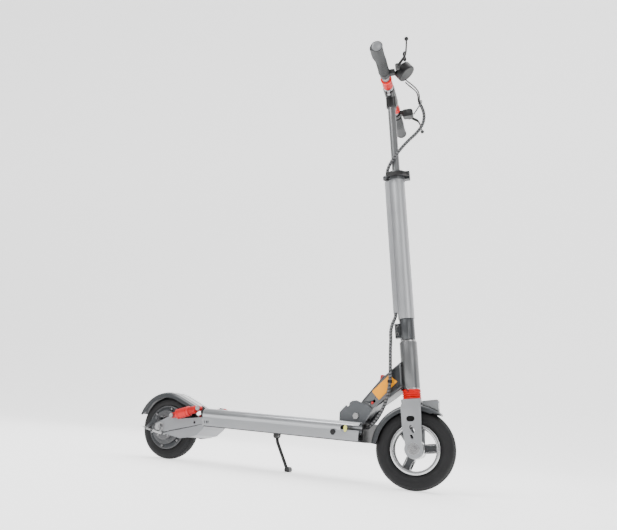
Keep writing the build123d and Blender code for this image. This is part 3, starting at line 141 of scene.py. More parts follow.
class ScooterSizes(bpy.types.PropertyGroup):
    """Sizes that a user would change, in metres unless said."""
    tread_depth: bpy.props.FloatProperty(name="Tread depth", description="Depth of the tyre grooves",
                                         default=0.0013, unit="LENGTH")
    tread_pitches: bpy.props.IntProperty(name="Tread blocks", description="Blocks round each tyre", default=84)
    grip_rib: bpy.props.FloatProperty(name="Grip rib pitch", description="Distance between grip ribs",
                                      default=0.0052, unit="LENGTH")
    wrap_pitch: bpy.props.FloatProperty(name="Wrap pitch", description="Distance between turns of the cable wrap",
                                        default=0.0092, unit="LENGTH")
    wrap_width: bpy.props.FloatProperty(name="Wrap width", description="Width of the cable wrap's strip",
                                        default=0.0062, unit="LENGTH")
    fender_wall: bpy.props.FloatProperty(name="Fender wall", description="Thickness of the fender shells",
                                         default=0.0025, unit="LENGTH")
    boot_folds: bpy.props.IntProperty(name="Boot folds", description="Folds of the fork's rubber boot", default=4)
    edge_round: bpy.props.FloatProperty(name="Edge rounding", description="Rounding of the frame's edges",
                                        default=0.0006, unit="LENGTH")


def colour_property(name, description, default):
    return bpy.props.FloatVectorProperty(name=name, description=description, default=default, size=3,
                                         subtype="COLOR", min=0.0, max=1.0)


class ScooterColours(bpy.types.PropertyGroup):
    """Colours that a user would change."""
    silver: colour_property("Silver", "Satin silver of the deck, column and fork", (0.31, 0.317, 0.328))
    gunmetal: colour_property("Gunmetal", "Dark metallic coat of the neck and inner tube", (0.036, 0.039, 0.042))
    hinge: colour_property("Hinge grey", "Coat of the hinge plates", (0.085, 0.09, 0.096))
    gloss_grey: colour_property("Gloss grey", "Moulded plastic of the fenders and lamp", (0.040, 0.043, 0.046))
    red: colour_property("Red", "Anodised levers, sleeves and shocks", (0.50, 0.0, 0.001))
    boot_red: colour_property("Boot red", "Rubber of the fork's boot", (0.66, 0.002, 0.001))
    black: colour_property("Black", "Moulded plastic and painted brackets", (0.005, 0.005, 0.0055))
    rubber: colour_property("Rubber", "Tyres and mat", (0.0065, 0.0065, 0.007))
    grip: colour_property("Grip", "Grip rubber", (0.018, 0.019, 0.020))
    patch: colour_property("Patch", "Plain cover plate on the neck", (0.80, 0.30, 0.0))


# ---------------------------------------------------------------- meshes

def turned(bm, axes, profile, count=72, closed=True, shape=None):
    """Adds a ring or solid turned about the cross direction, from (across, radius) points."""
    rows = []
    for step in range(count):
        angle = 2 * pi * step / count
        row = []
        for index, (across, radius) in enumerate(profile):
            r = shape(angle, index, across, radius) if shape else radius
            row.append(bm.verts.new(axes.at(r * cos(angle), across, r * sin(angle))))
        rows.append(row)
    for row, following in zip(rows, rows[1:] + rows[:1]):
        last = len(profile) if closed else len(profile) - 1
        for k in range(last):
            n = (k + 1) % len(profile)
            bm.faces.new((row[k], row[n], following[n], following[k]))


def skin(bm, loops):
    """Joins loops of equally many points into a closed tube."""
    rows = [[bm.verts.new(point) for point in loop] for loop in loops]
    for row, following in zip(rows, rows[1:]):
        for k in range(len(row)):
            n = (k + 1) % len(row)
            bm.faces.new((row[k], row[n], following[n], following[k]))
    bm.faces.new(rows[0])
    bm.faces.new(reversed(rows[-1]))


def inset(outline, distance):
    """Moves each side of a closed outline inwards."""
    area = sum(a[0] * b[1] - b[0] * a[1] for a, b in zip(outline, outline[1:] + outline[:1]))
    turn = 1 if area > 0 else -1
    moved = []
    for before, here, after in zip(outline[-1:] + outline[:-1], outline, outline[1:] + outline[:1]):
        d1 = Vector((here[0] - before[0], here[1] - before[1])).normalized()
        d2 = Vector((after[0] - here[0], after[1] - here[1])).normalized()
        n1, n2 = Vector((-d1.y, d1.x)) * turn, Vector((-d2.y, d2.x)) * turn
        bisector = n1 + n2
        if bisector.length < 1e-6:
            bisector = n1.copy()
        bisector.normalize()
        reach = distance / max(0.35, bisector.dot(n1))
        moved.append((here[0] + bisector.x * reach, here[1] + bisector.y * reach))
    return moved


def rounded(corners, radius, steps=5):
    """Rounds the corners of an outline."""
    outline = []
    for before, here, after in zip(corners[-1:] + corners[:-1], corners, corners[1:] + corners[:1]):
        here = Vector(here)
        one, two = Vector(before) - here, Vector(after) - here
        cut = min(radius, 0.45 * one.length, 0.45 * two.length)
        start, end = here + one.normalized() * cut, here + two.normalized() * cut
        for step in range(steps + 1):
            t = step / steps
            point = start * (1 - t) ** 2 + here * 2 * t * (1 - t) + end * t ** 2
            outline.append((point.x, point.y))
    return outline


def plate(bm, axes, outline, low, high, edge=0.5):
    """Adds a plate with softened edges across the axes, from an outline of (forward, up) points."""
    small = inset(outline, edge)
    levels = ((small, low), (outline, low + edge), (outline, high - edge), (small, high))
    skin(bm, [[axes.at(x, across, z) for x, z in shape] for shape, across in levels])


def screw(bm, axes, radius, height, socket=0.5):
    """Adds a round-headed screw with a hexagon socket, its head towards the left direction."""
    flats = radius * socket

    def hexagon(angle, index, across, r):
        return flats / cos((angle % (pi / 3)) - pi / 6) if index in (4, 5) else r

    profile = ((0, 0.001), (0, radius), (height * 0.7, radius), (height, radius * 0.82), (height, flats),
               (height * 0.45, flats), (height * 0.45, 0.001))
    turned(bm, axes, profile, 30, closed=False, shape=hexagon)


def finish_mesh(bm, sharp=32):
    """Welds, turns the normals out and marks the sharp edges."""
    bmesh.ops.remove_doubles(bm, verts=bm.verts, dist=2e-6)
    bmesh.ops.dissolve_degenerate(bm, edges=bm.edges, dist=1e-7)
    bmesh.ops.recalc_face_normals(bm, faces=bm.faces)
    limit = radians(sharp)
    for face in bm.faces:
        face.smooth = True
    for edge in bm.edges:
        edge.smooth = len(edge.link_faces) == 2 and edge.calc_face_angle(0) < limit


def piece(name, bm, body, finish, replaces=(), sharp=32):
    """Makes the mesh an object with a finish, riding on a body and standing for CAD nodes."""
    finish_mesh(bm, sharp)
    mesh = bpy.data.meshes.new(name)
    bm.to_mesh(mesh)
    bm.free()
    made = bpy.data.objects.new(name, mesh)
    bpy.context.scene.collection.objects.link(made)
    mesh.materials.append(material(finish))
    if isinstance(body, str):
        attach(made, body)
    if replaces:
        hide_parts(*replaces)
    return made


def turned_piece(name, axes, profile, count, body, finish, replaces=(), sharp=32, closed=True):
    """Makes a piece of one turned shape."""
    bm = bmesh.new()
    turned(bm, axes, profile, count, closed)
    return piece(name, bm, body, finish, replaces, sharp)


# ---------------------------------------------------------------- finishes

def colours():
    return bpy.context.scene.scooter_colours


def sizes():
    return bpy.context.scene.scooter_sizes


def surface(colour, slot, roughness, grain, depth, mottle, **more):
    """One finish: its colour (a settings name or a value), the record's slot, and how the surface looks."""
    return dict(colour=colour, slot=slot, roughness=roughness, grain=grain, depth=depth, mottle=mottle, **more)


FINISHES = {
    "brushed silver": surface("silver", "satin_aluminium", 0.36, 700, 0.10, 0.05,
                              metallic=1.0, stretch=(0.02, 1, 1), wear=0.25),
    "satin silver": surface("silver", "satin_aluminium", 0.40, 1900, 0.10, 0.04, metallic=0.85, wear=0.2),
    "cast silver": surface((0.24, 0.245, 0.255), "satin_aluminium", 0.42, 900, 0.18, 0.07, metallic=0.8, wear=0.25),
    "gunmetal coat": surface("gunmetal", "gunmetal", 0.38, 2400, 0.12, 0.10, metallic=0.75, wear=0.3, coat=0.25),
    "hinge coat": surface("hinge", "hinge_grey", 0.46, 1500, 0.14, 0.07, metallic=0.6, wear=0.3),
    "black coat": surface("black", "black_paint", 0.4, 2200, 0.12, 0.25, specular=0.35, wear=0.12),
    "black plastic": surface("black", "black_plastic", 0.36, 1600, 0.16, 0.25, specular=0.35),
    "gloss grey plastic": surface("gloss_grey", "fender_gloss", 0.3, 380, 0.03, 0.06, metallic=0.35, coat=0.3),
    "light grey plastic": surface((0.14, 0.145, 0.15), "hinge_grey", 0.38, 1200, 0.08, 0.06),
    "mat rubber": surface("rubber", "mat_rubber", 0.72, 1400, 0.35, 0.3, specular=0.22),
    "tyre rubber": surface("rubber", "tyre_rubber", 0.55, 1300, 0.22, 0.35, specular=0.26),
    "grip rubber": surface("grip", "grip_rubber", 0.5, 1700, 0.25, 0.15, specular=0.4),
    "cable jacket": surface("black", "cable_black", 0.38, 1500, 0.12, 0.2, specular=0.35),
    "wrap plastic": surface((0.075, 0.077, 0.08), "loom_wrap", 0.3, 1500, 0.1, 0.15),
    "bright steel": surface((0.34, 0.34, 0.345), "steel_bright", 0.27, 1200, 0.10, 0.08, metallic=1.0, wear=0.2),
    "dark steel": surface((0.05, 0.05, 0.052), "steel_dark", 0.34, 1200, 0.10, 0.2, metallic=0.9, wear=0.3),
    "red anodised": surface("red", "red_anodised", 0.36, 1300, 0.08, 0.08, metallic=0.35, wear=0.1, specular=0.3),
    "red rubber": surface("boot_red", "red_rubber", 0.45, 1300, 0.18, 0.08, specular=0.25),
    "red lens": surface((0.55, 0.012, 0.01), "red_plastic", 0.14, 220, 0.25, 0.1, coat=0.6),
    "patch plate": surface("patch", "hinge_grey", 0.55, 1400, 0.06, 0.05, specular=0.2),
    "amber reflector": surface((0.62, 0.60, 0.10), "reflector_amber", 0.16, 500, 0.5, 0.2, coat=0.8),
    "clear lens": surface((0.75, 0.78, 0.80), "lamp_glass", 0.12, 300, 0.1, 0.05, coat=0.5),
    "screen glass": surface((0.006, 0.008, 0.012), "black_plastic", 0.08, 90, 0.01, 0.4, coat=1.0),
    "motor coat": surface((0.030, 0.032, 0.035), "motor_grey", 0.42, 1100, 0.2, 0.1, metallic=0.6, wear=0.3),
    "machined rim": surface((0.50, 0.505, 0.51), "rim_alloy", 0.24, 1500, 0.08, 0.05, metallic=1.0, wear=0.2),
    "rim coat": surface((0.008, 0.008, 0.009), "rim_alloy", 0.38, 1500, 0.12, 0.15, metallic=0.5, wear=0.2),
    "cell wrap": surface((0.02, 0.06, 0.14), "battery_wrap", 0.3, 200, 0.15, 0.12),
    "brake disc": surface((0.11, 0.11, 0.113), "satin_aluminium", 0.38, 1000, 0.15, 0.12, metallic=0.9, wear=0.3),
}


def set_inputs(node, **values):
    """Sets a node's inputs. An underscore in a name stands for a space."""
    for name, value in values.items():
        node.inputs[name.replace("_", " ")].default_value = value


def material(name):
    """Gives the finish's material, made the first time it is asked for."""
    if name in bpy.data.materials:
        return bpy.data.materials[name]
    look = FINISHES[name]
    base = look["colour"]
    if isinstance(base, str):
        base = tuple(getattr(colours(), base))
    made = bpy.data.materials.new(name)
    made.use_nodes = True
    tree = made.node_tree
    tree.nodes.clear()

    def node(kind, **values):
        new = tree.nodes.new(kind)
        for key, value in values.items():
            setattr(new, key, value)
        return new

    def link(source, target):
        tree.links.new(source, target)

    output = node("ShaderNodeOutputMaterial")
    shader = node("ShaderNodeBsdfPrincipled")
    link(shader.outputs["BSDF"], output.inputs["Surface"])
    set_inputs(shader, Metallic=look.get("metallic", 0.0), Coat_Weight=look.get("coat", 0.0), Coat_Roughness=0.12,
               Specular_IOR_Level=look.get("specular", 0.5))
    place = node("ShaderNodeTexCoord")
    mapping = node("ShaderNodeMapping")
    set_inputs(mapping, Scale=look.get("stretch", (1, 1, 1)))
    link(place.outputs["Object"], mapping.inputs["Vector"])
    fine = node("ShaderNodeTexNoise")
    set_inputs(fine, Scale=look["grain"], Detail=3)
    broad = node("ShaderNodeTexNoise")
    set_inputs(broad, Scale=18, Detail=6)
    link(mapping.outputs["Vector"], fine.inputs["Vector"])
    link(place.outputs["Object"], broad.inputs["Vector"])
    ramp = node("ShaderNodeValToRGB")
    mottle = look["mottle"]
    ramp.color_ramp.elements[0].position = 0.32
    ramp.color_ramp.elements[1].position = 0.68
    ramp.color_ramp.elements[0].color = (*[c * (1 - mottle) for c in base], 1)
    ramp.color_ramp.elements[1].color = (*[min(1, c * (1 + mottle)) for c in base], 1)
    blend = node("ShaderNodeMix", data_type="FLOAT")
    set_inputs(blend, Factor=0.45)
    link(broad.outputs["Fac"], blend.inputs["A"])
    link(fine.outputs["Fac"], blend.inputs["B"])
    link(blend.outputs["Result"], ramp.inputs["Fac"])
    colour = ramp.outputs["Color"]
    if look.get("wear"):
        geometry = node("ShaderNodeNewGeometry")
        edges = node("ShaderNodeValToRGB")
        edges.color_ramp.elements[0].position = 0.53
        edges.color_ramp.elements[1].position = 0.60
        link(geometry.outputs["Pointiness"], edges.inputs["Fac"])
        amount = node("ShaderNodeMath", operation="MULTIPLY")
        amount.inputs[1].default_value = look["wear"]
        link(edges.outputs["Color"], amount.inputs[0])
        worn = node("ShaderNodeMix", data_type="RGBA")
        factor, one, other = [socket for socket in worn.inputs if socket.enabled]
        other.default_value = (*[0.35 + 0.6 * c for c in base], 1)
        link(amount.outputs["Value"], factor)
        link(colour, one)
        colour = next(socket for socket in worn.outputs if socket.enabled)
    link(colour, shader.inputs["Base Color"])
    rough = node("ShaderNodeMapRange")
    set_inputs(rough, From_Min=0.3, From_Max=0.7, To_Min=look["roughness"] * 0.86,
               To_Max=min(1.0, look["roughness"] * 1.16))
    link(blend.outputs["Result"], rough.inputs["Value"])
    link(rough.outputs["Result"], shader.inputs["Roughness"])
    bump = node("ShaderNodeBump")
    set_inputs(bump, Strength=look["depth"], Distance=0.0004)
    link(fine.outputs["Fac"], bump.inputs["Height"])
    link(bump.outputs["Normal"], shader.inputs["Normal"])
    return made


# The CAD nodes that stay, with their finishes.
NODE_FINISHES = {
    "deck_frame": "brushed silver", "deck_bottom_cover": "black coat", "deck_front_block": "black plastic",
    "deck_rear_block": "black coat", "battery_pack": "cell wrap", "controller": "dark steel",
    "side_reflectors": "amber reflector", "charge_port_cap": "black plastic", "hinge_plates": "hinge coat",
    "frame_bolts": "bright steel", "kickstand_leg": "black coat", "swingarm": "cast silver",
    "tail_guard": "cast silver", "tail_light": "red lens", "rear_axle": "bright steel", "brake_plate": "brake disc",
    "brake_arm": "motor coat", "cable_adjuster": "bright steel", "shock_lower_bolts": "bright steel",
    "hub_motor": "motor coat", "neck_frame": "gunmetal coat", "headset_cups": "bright steel",
    "fold_lever": "red anodised", "latch_pin": "red anodised", "steerer_tube": "dark steel",
    "stem_clamp": "gunmetal coat", "clamp_bolts": "dark steel", "outer_column": "satin silver",
    "qr_collar": "gunmetal coat", "qr_lever": "black coat", "inner_column": "gunmetal coat", "fork": "satin silver",
    "headlamp": "light grey plastic", "front_axle": "bright steel", "bar_block": "black coat",
    "handlebar_right": "satin silver", "handlebar_left": "satin silver", "control_pod_right": "black plastic",
    "control_pod_left": "black plastic", "throttle_trigger": "black plastic",
}
SOFT_EDGED = ("deck_frame", "deck_front_block", "hinge_plates", "swingarm", "tail_guard", "neck_frame",
              "stem_clamp", "qr_collar", "fork", "headlamp", "bar_block", "qr_lever", "control_pod_left")


# ---------------------------------------------------------------- paths of cables

def smooth_path(points):
    """The points along a smooth NURBS line that has the given control points."""
    curve = bpy.data.curves.new("route", "CURVE")
    curve.dimensions = "3D"
    spline = curve.splines.new("NURBS")
    spline.points.add(len(points) - 1)
    for target, point in zip(spline.points, points):
        target.co = (*point, 1)
    spline.order_u = 3
    spline.use_endpoint_u = True
    spline.resolution_u = 10
    holder = bpy.data.objects.new("route", curve)
    bpy.context.scene.collection.objects.link(holder)
    bpy.context.view_layer.update()
    drawn = bpy.data.meshes.new_from_object(holder.evaluated_get(bpy.context.evaluated_depsgraph_get()))
    path = [vertex.co.copy() for vertex in drawn.vertices]
    bpy.data.objects.remove(holder)
    bpy.data.curves.remove(curve)
    bpy.data.meshes.remove(drawn)
    return path


def frames_along(path):
    """A point, a direction and a side direction that turns as little as it can, at each point of a path."""
    ahead = [(b - a).normalized() for a, b in zip(path, path[1:])]
    ahead.append(ahead[-1])
    side = ahead[0].orthogonal().normalized()
    frames = []
    for point, direction in zip(path, ahead):
        side = (side - direction * side.dot(direction)).normalized()
        frames.append((point, direction, side))
    return frames


def tube(bm, path, radius, sides=14):
    """Adds a round tube along a path. The radius is in millimetres, or a function of the share of the path."""
    frames = frames_along(path)
    loops = []
    for index, (point, direction, side) in enumerate(frames):
        r = (radius(index / (len(frames) - 1)) if callable(radius) else radius) * MM
        other = direction.cross(side)
        loops.append([point + (side * cos(2 * pi * k / sides) + other * sin(2 * pi * k / sides)) * r
                      for k in range(sides)])
    skin(bm, loops)


def wrap(bm, path, radius, thickness=0.7, steps=18):
    """Adds a flat strip wound round a path, as a spiral cable wrap."""
    frames = frames_along(path)
    pitch, width = sizes().wrap_pitch, sizes().wrap_width
    lengths = [0.0]
    for a, b in zip(path, path[1:]):
        lengths.append(lengths[-1] + (b - a).length)
    loops, index = [], 0
    total = int(lengths[-1] / pitch * steps)
    for step in range(total + 1):
        along = min(lengths[-1], step * pitch / steps)
        while index < len(path) - 2 and lengths[index + 1] < along:
            index += 1
        share = (along - lengths[index]) / (lengths[index + 1] - lengths[index])
        point = path[index].lerp(path[index + 1], share)
        direction = frames[index][1].lerp(frames[index + 1][1], share).normalized()
        side = frames[index][2].lerp(frames[index + 1][2], share)
        side = (side - direction * side.dot(direction)).normalized()
        angle = 2 * pi * step / steps
        out = side * cos(angle) + direction.cross(side) * sin(angle)
        near, far = out * radius * MM, out * (radius + thickness) * MM
        half = direction * width / 2
        loops.append([point + near - half, point + far - half * 0.8, point + far + half * 0.8, point + near + half])
    skin(bm, loops)


# Routes of the cables. Steering frame (forward, left, up) in millimetres, and row frame where said.
UPPER_LOOM = ((86, -10, 1012), (95, -9, 990), (97, -9, 964), (89, -11, 937), (71, -15, 914), (48, -19, 894),
              (26, -21, 873), (7, -20, 852), (-11, -16, 832), (-25, -8, 810), (-28.5, -1, 786), (-28.5, 0, 762))
CONTROL_CABLES = {
    "brake_cable_right": ("bar_right", ((58, -124, 1034), (69, -104, 1031), (78, -80, 1032), (85, -55, 1033),
                                        (88, -33, 1031), (87, -17, 1024), (85.5, -9.5, 1013))),
    "display_cable": ("bar_right", ((57, -119, 1028), (67, -100, 1024), (76, -77, 1025), (82, -54, 1027),
                                    (84, -34, 1026), (83, -20, 1021), (83, -12, 1013))),
    "brake_cable_left": ("bar_left", ((57, 130, 1046), (67, 122, 1055), (78, 104, 1060), (86, 78, 1055),
                                      (90, 50, 1046), (90, 24, 1036), (89, 3, 1027), (87, -8, 1013))),
}
LOWER_LOOM_TOP = ((-28.5, 0, 392), (-28.7, -0.3, 371), (-35, -4, 357), (-42, -9, 341), (-45.5, -16, 321),
                  (-45, -24, 299))
LOWER_LOOM_ROW = ((327.5, -36.5, 373), (331, -39.5, 343), (334, -41.5, 312), (335.5, -42, 281), (333.5, -43, 252),
                  (327.5, -43.5, 225), (318, -43, 201), (307, -40.5, 182), (296, -40, 167), (285.2, -39.5, 157.5))
LAMP_WIRE_ROW = ((337, -36.2, 254), (345, -38, 264), (355, -39, 272), (367, -38, 275),
                 (378, -33, 271), (385, -27, 260))
CLIP_HEIGHT = 0.283
LOOM_RADIUS = 4.3
CABLE_RADIUS = 2.0
LAMP_WIRE_RADIUS = 1.5


# ---------------------------------------------------------------- wheels

def through(points, steps=4):
    """A smooth line through points, as Catmull and Rom draw it."""
    padded = [points[0], *points, points[-1]]
    line = []
    for a, b, c, d in zip(padded, padded[1:], padded[2:], padded[3:]):
        for step in range(steps):
            t = step / steps
            line.append(tuple(0.5 * (2 * q + (r - p) * t + (2 * p - 5 * q + 4 * r - s) * t * t
                                     + (3 * q - p - 3 * r + s) * t ** 3) for p, q, r, s in zip(a, b, c, d)))
    return line + [points[-1]]


def tyre(name, axes, body, node, radius, half, bead, bead_half, crown_drop):
    """Makes a tyre with grooves round its crown, slanted sipes and a ribbed sidewall."""
    shoulder = half - 5
    wall = through([(bead_half, bead), (bead_half + 3, bead + 2.5), (half - 0.6, bead + 8), (half, bead + 16),
                    (half - 0.4, radius - 14), (half - 2, radius - 9), (shoulder, radius - crown_drop)])
    wall = [(across + (0.45 if k in (9, 10, 13, 14) else 0), r) for k, (across, r) in enumerate(wall)]
    crown = [shoulder - 1.2, 15.2, 14.1, 13.9, 12.1, 11.9, 9, 6.1, 5.9, 4.1, 3.9, 1.8]
    crown = [(t, radius - crown_drop * (t / shoulder) ** 2.4) for t in crown]
    right = wall + crown
    profile = right + [(0, radius)] + [(-across, r) for across, r in reversed(right)]
    first, last = len(wall), len(profile) - len(wall)
    pitches, depth = sizes().tread_pitches, sizes().tread_depth / MM

    def tread(angle, index, across, r):
        if not first <= index < last:
            return r
        t = abs(across)
        if 4.0 < t < 6.0 or 12.0 < t < 14.0:
            return r - depth
        phase = (angle / (2 * pi) * pitches + (0.5 if across > 0 else 0) + t * 0.06) % 1
        if t > 14 and phase < 0.26:
            return r - depth * 0.9
        if 6 < t < 12 and phase < 0.14:
            return r - depth * 0.8
        return r - (depth * 0.5 if t < 4 and 0.5 <= phase < 0.64 else 0)

    bm = bmesh.new()
    turned(bm, axes, profile, pitches * 8, shape=tread)
    piece(name, bm, body, "tyre rubber", (node,), sharp=38)


def front_wheel():
    """Makes the front wheel's tyre, barrel, machined edges, channelled spokes and hub."""
    body = "front_wheel"
    tyre("front_tyre_treaded", FRONT, body, "front_tyre", FRONT_TYRE_RADIUS, FRONT_TYRE_HALF, 67.5, 17, 5.8)
    turned_piece("rim_barrel", FRONT, ((-20, 58), (-20, 66.6), (-18.2, 67.4), (-17.2, 66.4), (-13, 64), (13, 64),
                 (17.2, 66.4), (18.2, 67.4), (20, 66.6), (20, 58), (17.5, 58.6), (13, 61), (-13, 61),
                 (-17.5, 58.6)), 96, body, "rim coat", ("front_rim",))
    bm = bmesh.new()
    for side in (1, -1):
        turned(bm, FRONT, [(side * t, r) for t, r in ((19.4, 58.6), (20.4, 58.4), (21, 59.6), (21, 64.8),
                                                     (20.2, 66.9), (19.4, 66.9))], 120)
        turned(bm, FRONT, [(side * t, r) for t, r in ((13.2, 57.2), (14.4, 57), (14.4, 60.6), (13.2, 60.8))], 120)
    piece("rim_machined_edges", bm, body, "machined rim")
    for k in range(SPOKE_COUNT):
        spoke = FRONT.tilted(360 / SPOKE_COUNT * k)
        outline = rounded([(20, -12.5), (36, -9.2), (50, -9.2), (62, -12.5), (62, 12.5), (50, 9.2), (36, 9.2),
                           (20, 12.5)], 3, 3)
        bm = bmesh.new()
        plate(bm, spoke, outline, -9.6, 9.6, 0.8)
        piece(f"rim_spoke_{k + 1}_web", bm, body, "motor coat", sharp=28)
        bm = bmesh.new()
        for edge in (1, -1):
            lip = [(22, edge * 12.8), (36, edge * 10.0), (50, edge * 10.0), (61.5, edge * 13.2),
                   (61.5, edge * 10.4), (50, edge * 7.4), (36, edge * 7.4), (24, edge * 9.6)]
            plate(bm, spoke, rounded(lip, 1.2, 3), -15, 15, 0.7)
        piece(f"rim_spoke_{k + 1}_lips", bm, body, "machined rim", sharp=28)
    bm = bmesh.new()
    for k in range(SPOKE_COUNT):
        spoke = FRONT.tilted(360 / SPOKE_COUNT * k)
        for side in (1, -1):
            for reach in (29, 54):
                head = spoke.moved(reach, side * 9.4)
                screw(bm, head if side > 0 else head.mirrored(), 2.4, 2.2)
    piece("spoke_screws", bm, body, "dark steel")
    turned_piece("front_hub", FRONT, ((-24.3, 6.2), (-24.3, 17), (-23.4, 18.6), (-22.6, 19), (-22.6, 24), (-21, 26),
                 (-8, 27), (8, 27), (21, 26), (22.6, 24), (22.6, 19), (23.4, 18.6), (24.3, 17), (24.3, 6.2)),
                 72, body, "machined rim")
    bm = bmesh.new()
    for side in (1, -1):
        washer = ((57.4, 9), (57.4, 15), (58.2, 16), (58.8, 15.4), (58.8, 9))
        turned(bm, FRONT, [(side * t, r) for t, r in washer], 48)
    piece("front_axle_washers", bm, "fork", "bright steel")


def rear_wheel():
    """Makes the rear tyre and the motor cover's rings and screws."""
    body = "rear_wheel"
    tyre("rear_tyre_treaded", REAR, body, "rear_tyre", REAR_TYRE_RADIUS, REAR_TYRE_HALF, 66.5, 18, 4.4)
    bm = bmesh.new()
    for side in (1, -1):
        for low, high, out in ((43.5, 45.5, 31.1), (47.5, 49, 31.1), (62, 65.4, 24.6)):
            base = 30.2 if high < 50 else 22.5
            turned(bm, REAR, [(side * t, r) for t, r in ((base, low), (out - 0.3, low), (out, low + 0.4),
                                                         (out, high - 0.4), (out - 0.3, high), (base, high))], 120)
    piece("motor_cover_rings", bm, body, "motor coat")
    bm = bmesh.new()
    for k in range(MOTOR_SCREW_COUNT):
        spot = REAR.tilted(80 + 360 / MOTOR_SCREW_COUNT * k)
        for side in (1, -1):
            head = spot.moved(MOTOR_SCREW_REACH, side * 21)
            screw(bm, head if side > 0 else head.mirrored(), 3.6, 4.2)
    piece("motor_cover_screws", bm, body, "bright steel")
    bm = bmesh.new()
    for k in range(5):
        screw(bm, REAR.tilted(20 + 72 * k).moved(31, -39.6).mirrored(), 2.6, 2.2)
    turned(bm, REAR, [(-t, r) for t, r in ((39.6, 19), (41.2, 19.4), (41.2, 23), (39.6, 23.6))], 72)
    piece("brake_plate_screws", bm, "swingarm", "bright steel")
    bm = bmesh.new()
    for side in (1, -1):
        washer = ((61, 9.5), (61, 14), (61.8, 14.6), (62.6, 14), (62.6, 9.5))
        turned(bm, REAR, [(side * t, r) for t, r in washer], 48)
    piece("rear_axle_washers", bm, "swingarm", "bright steel")


def adjuster_spring():
    """Makes the coil spring on the drum brake's adjusting rod."""
    across = -70.0
    start, end = REAR.at(8, across, -18), REAR.at(-61, across, -4)
    direction = (end - start).normalized()
    side = Vector((0, 1, 0))
    other = direction.cross(side)
    path = []
    turns, steps = 11, 16
    for k in range(turns * steps + 1):
        angle = 2 * pi * k / steps
        along = 0.033 + 0.017 * k / (turns * steps)
        path.append(start + direction * along + (side * cos(angle) + other * sin(angle)) * 0.0032)
    bm = bmesh.new()
    tube(bm, path, 0.55, 8)
    piece("adjuster_spring", bm, "swingarm", "bright steel", sharp=60)


# ---------------------------------------------------------------- fenders

def fender(name, body, node, axes, stations, half, finish):
    """Makes a fender shell with a raised crown panel. A station is (crown point, outward direction, skirt drop)."""
    wall = sizes().fender_wall / MM

    def section(drop):
        edge = [(-half, drop), (-half, min(9.0, drop - 0.1)), (-half + 0.9, min(5.4, drop - 0.2)),
                (-half + 3.2, 2.9), (-half + 7, 1.7), (-half + 11, 1.1), (-19.8, 0.8), (-18.9, 0.1), (-9, 0)]
        outer = edge + [(0, 0)] + [(-y, down) for y, down in reversed(edge)]
        inner = [(y * (half - wall) / half, down if k in (0, len(outer) - 1) else down + wall)
                 for k, (y, down) in enumerate(outer)]
        return outer + inner[::-1]

    loops = []
    for (x, z), (dx, dz), drop in stations:
        loops.append([axes.at(x - dx * down, y, z - dz * down) for y, down in section(drop)])
    bm = bmesh.new()
    skin(bm, loops)
    piece(name, bm, body, finish, (node,), sharp=40)


def arc_stations(radius, start, end, step, drop_at):
    """Stations round a wheel, with the skirt drop that drop_at gives for each angle."""
    count = int(round((end - start) / step))
    stations = []
    for k in range(count + 1):
        angle = start + (end - start) * k / count
        c, s = cos(radians(angle)), sin(radians(angle))
        stations.append(((radius * c, radius * s), (c, s), drop_at(angle)))
    return stations


def front_fender():
    """Makes the front fender, with shallow skirts ahead of the fork."""
    def drop(angle):
        tip = min(1.0, max(0.0, (angle - 48) / 14))
        tail = min(1.0, max(0.0, (170 - angle) / 5))
        return 3.4 + 13.6 * tip ** 1.5 * (0.55 + 0.45 * tail)

    fender("front_fender_shell", "fork", "front_fender", FRONT,
           arc_stations(FRONT_FENDER_RADIUS, 48, 170, 2.0, drop), FRONT_FENDER_HALF, "gloss grey plastic")


def rear_fender():
    """Makes the rear fender with its straight nose, and its bracket."""
    radius, start, nose = REAR_FENDER_RADIUS, 68, 90
    c, s = cos(radians(start)), sin(radians(start))
    straight = [((radius * c + s * reach, radius * s - c * reach), (c, s), 18 - 5 * (reach / nose) ** 2)
                for reach in (nose, 75, 60, 45, 30, 15)]
    tail = arc_stations(radius, start, 162, 2.5, lambda angle: 18 - 9 * max(0, (angle - 150) / 12) ** 2)
    fender("rear_fender_shell", "swingarm", "rear_fender", REAR, straight + tail, REAR_FENDER_HALF,
           "gloss grey plastic")
    bm = bmesh.new()
    plate(bm, REAR, rounded([(112, 72), (117, 69.5), (130, 34), (121, 33)], 2), -16, 16, 0.8)
    piece("rear_fender_bracket", bm, "swingarm", "black coat")


# ---------------------------------------------------------------- suspension

def boot():
    """Makes the folded rubber boot between fork and head tube."""
    low, high, folds = BOOT_BOTTOM, BOOT_TOP, sizes().boot_folds
    lip = 2.4
    points = [(low, 18), (low, 25.2), (low + lip, 25.6)]
    steps = 8 * folds
    for k in range(steps + 1):
        t = k / steps
        points.append((low + lip + (high - low - 2 * lip) * t, 22.4 + 3.4 * abs(sin(pi * folds * t)) ** 0.75))
    points += [(high - lip, 25.4), (high, 25.0), (high, 18)]
    made = turned_piece("fork_boot", FRONT.upright(), points, 96, "steerer", "red rubber", ("bellows",), sharp=55)
    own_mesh(made)


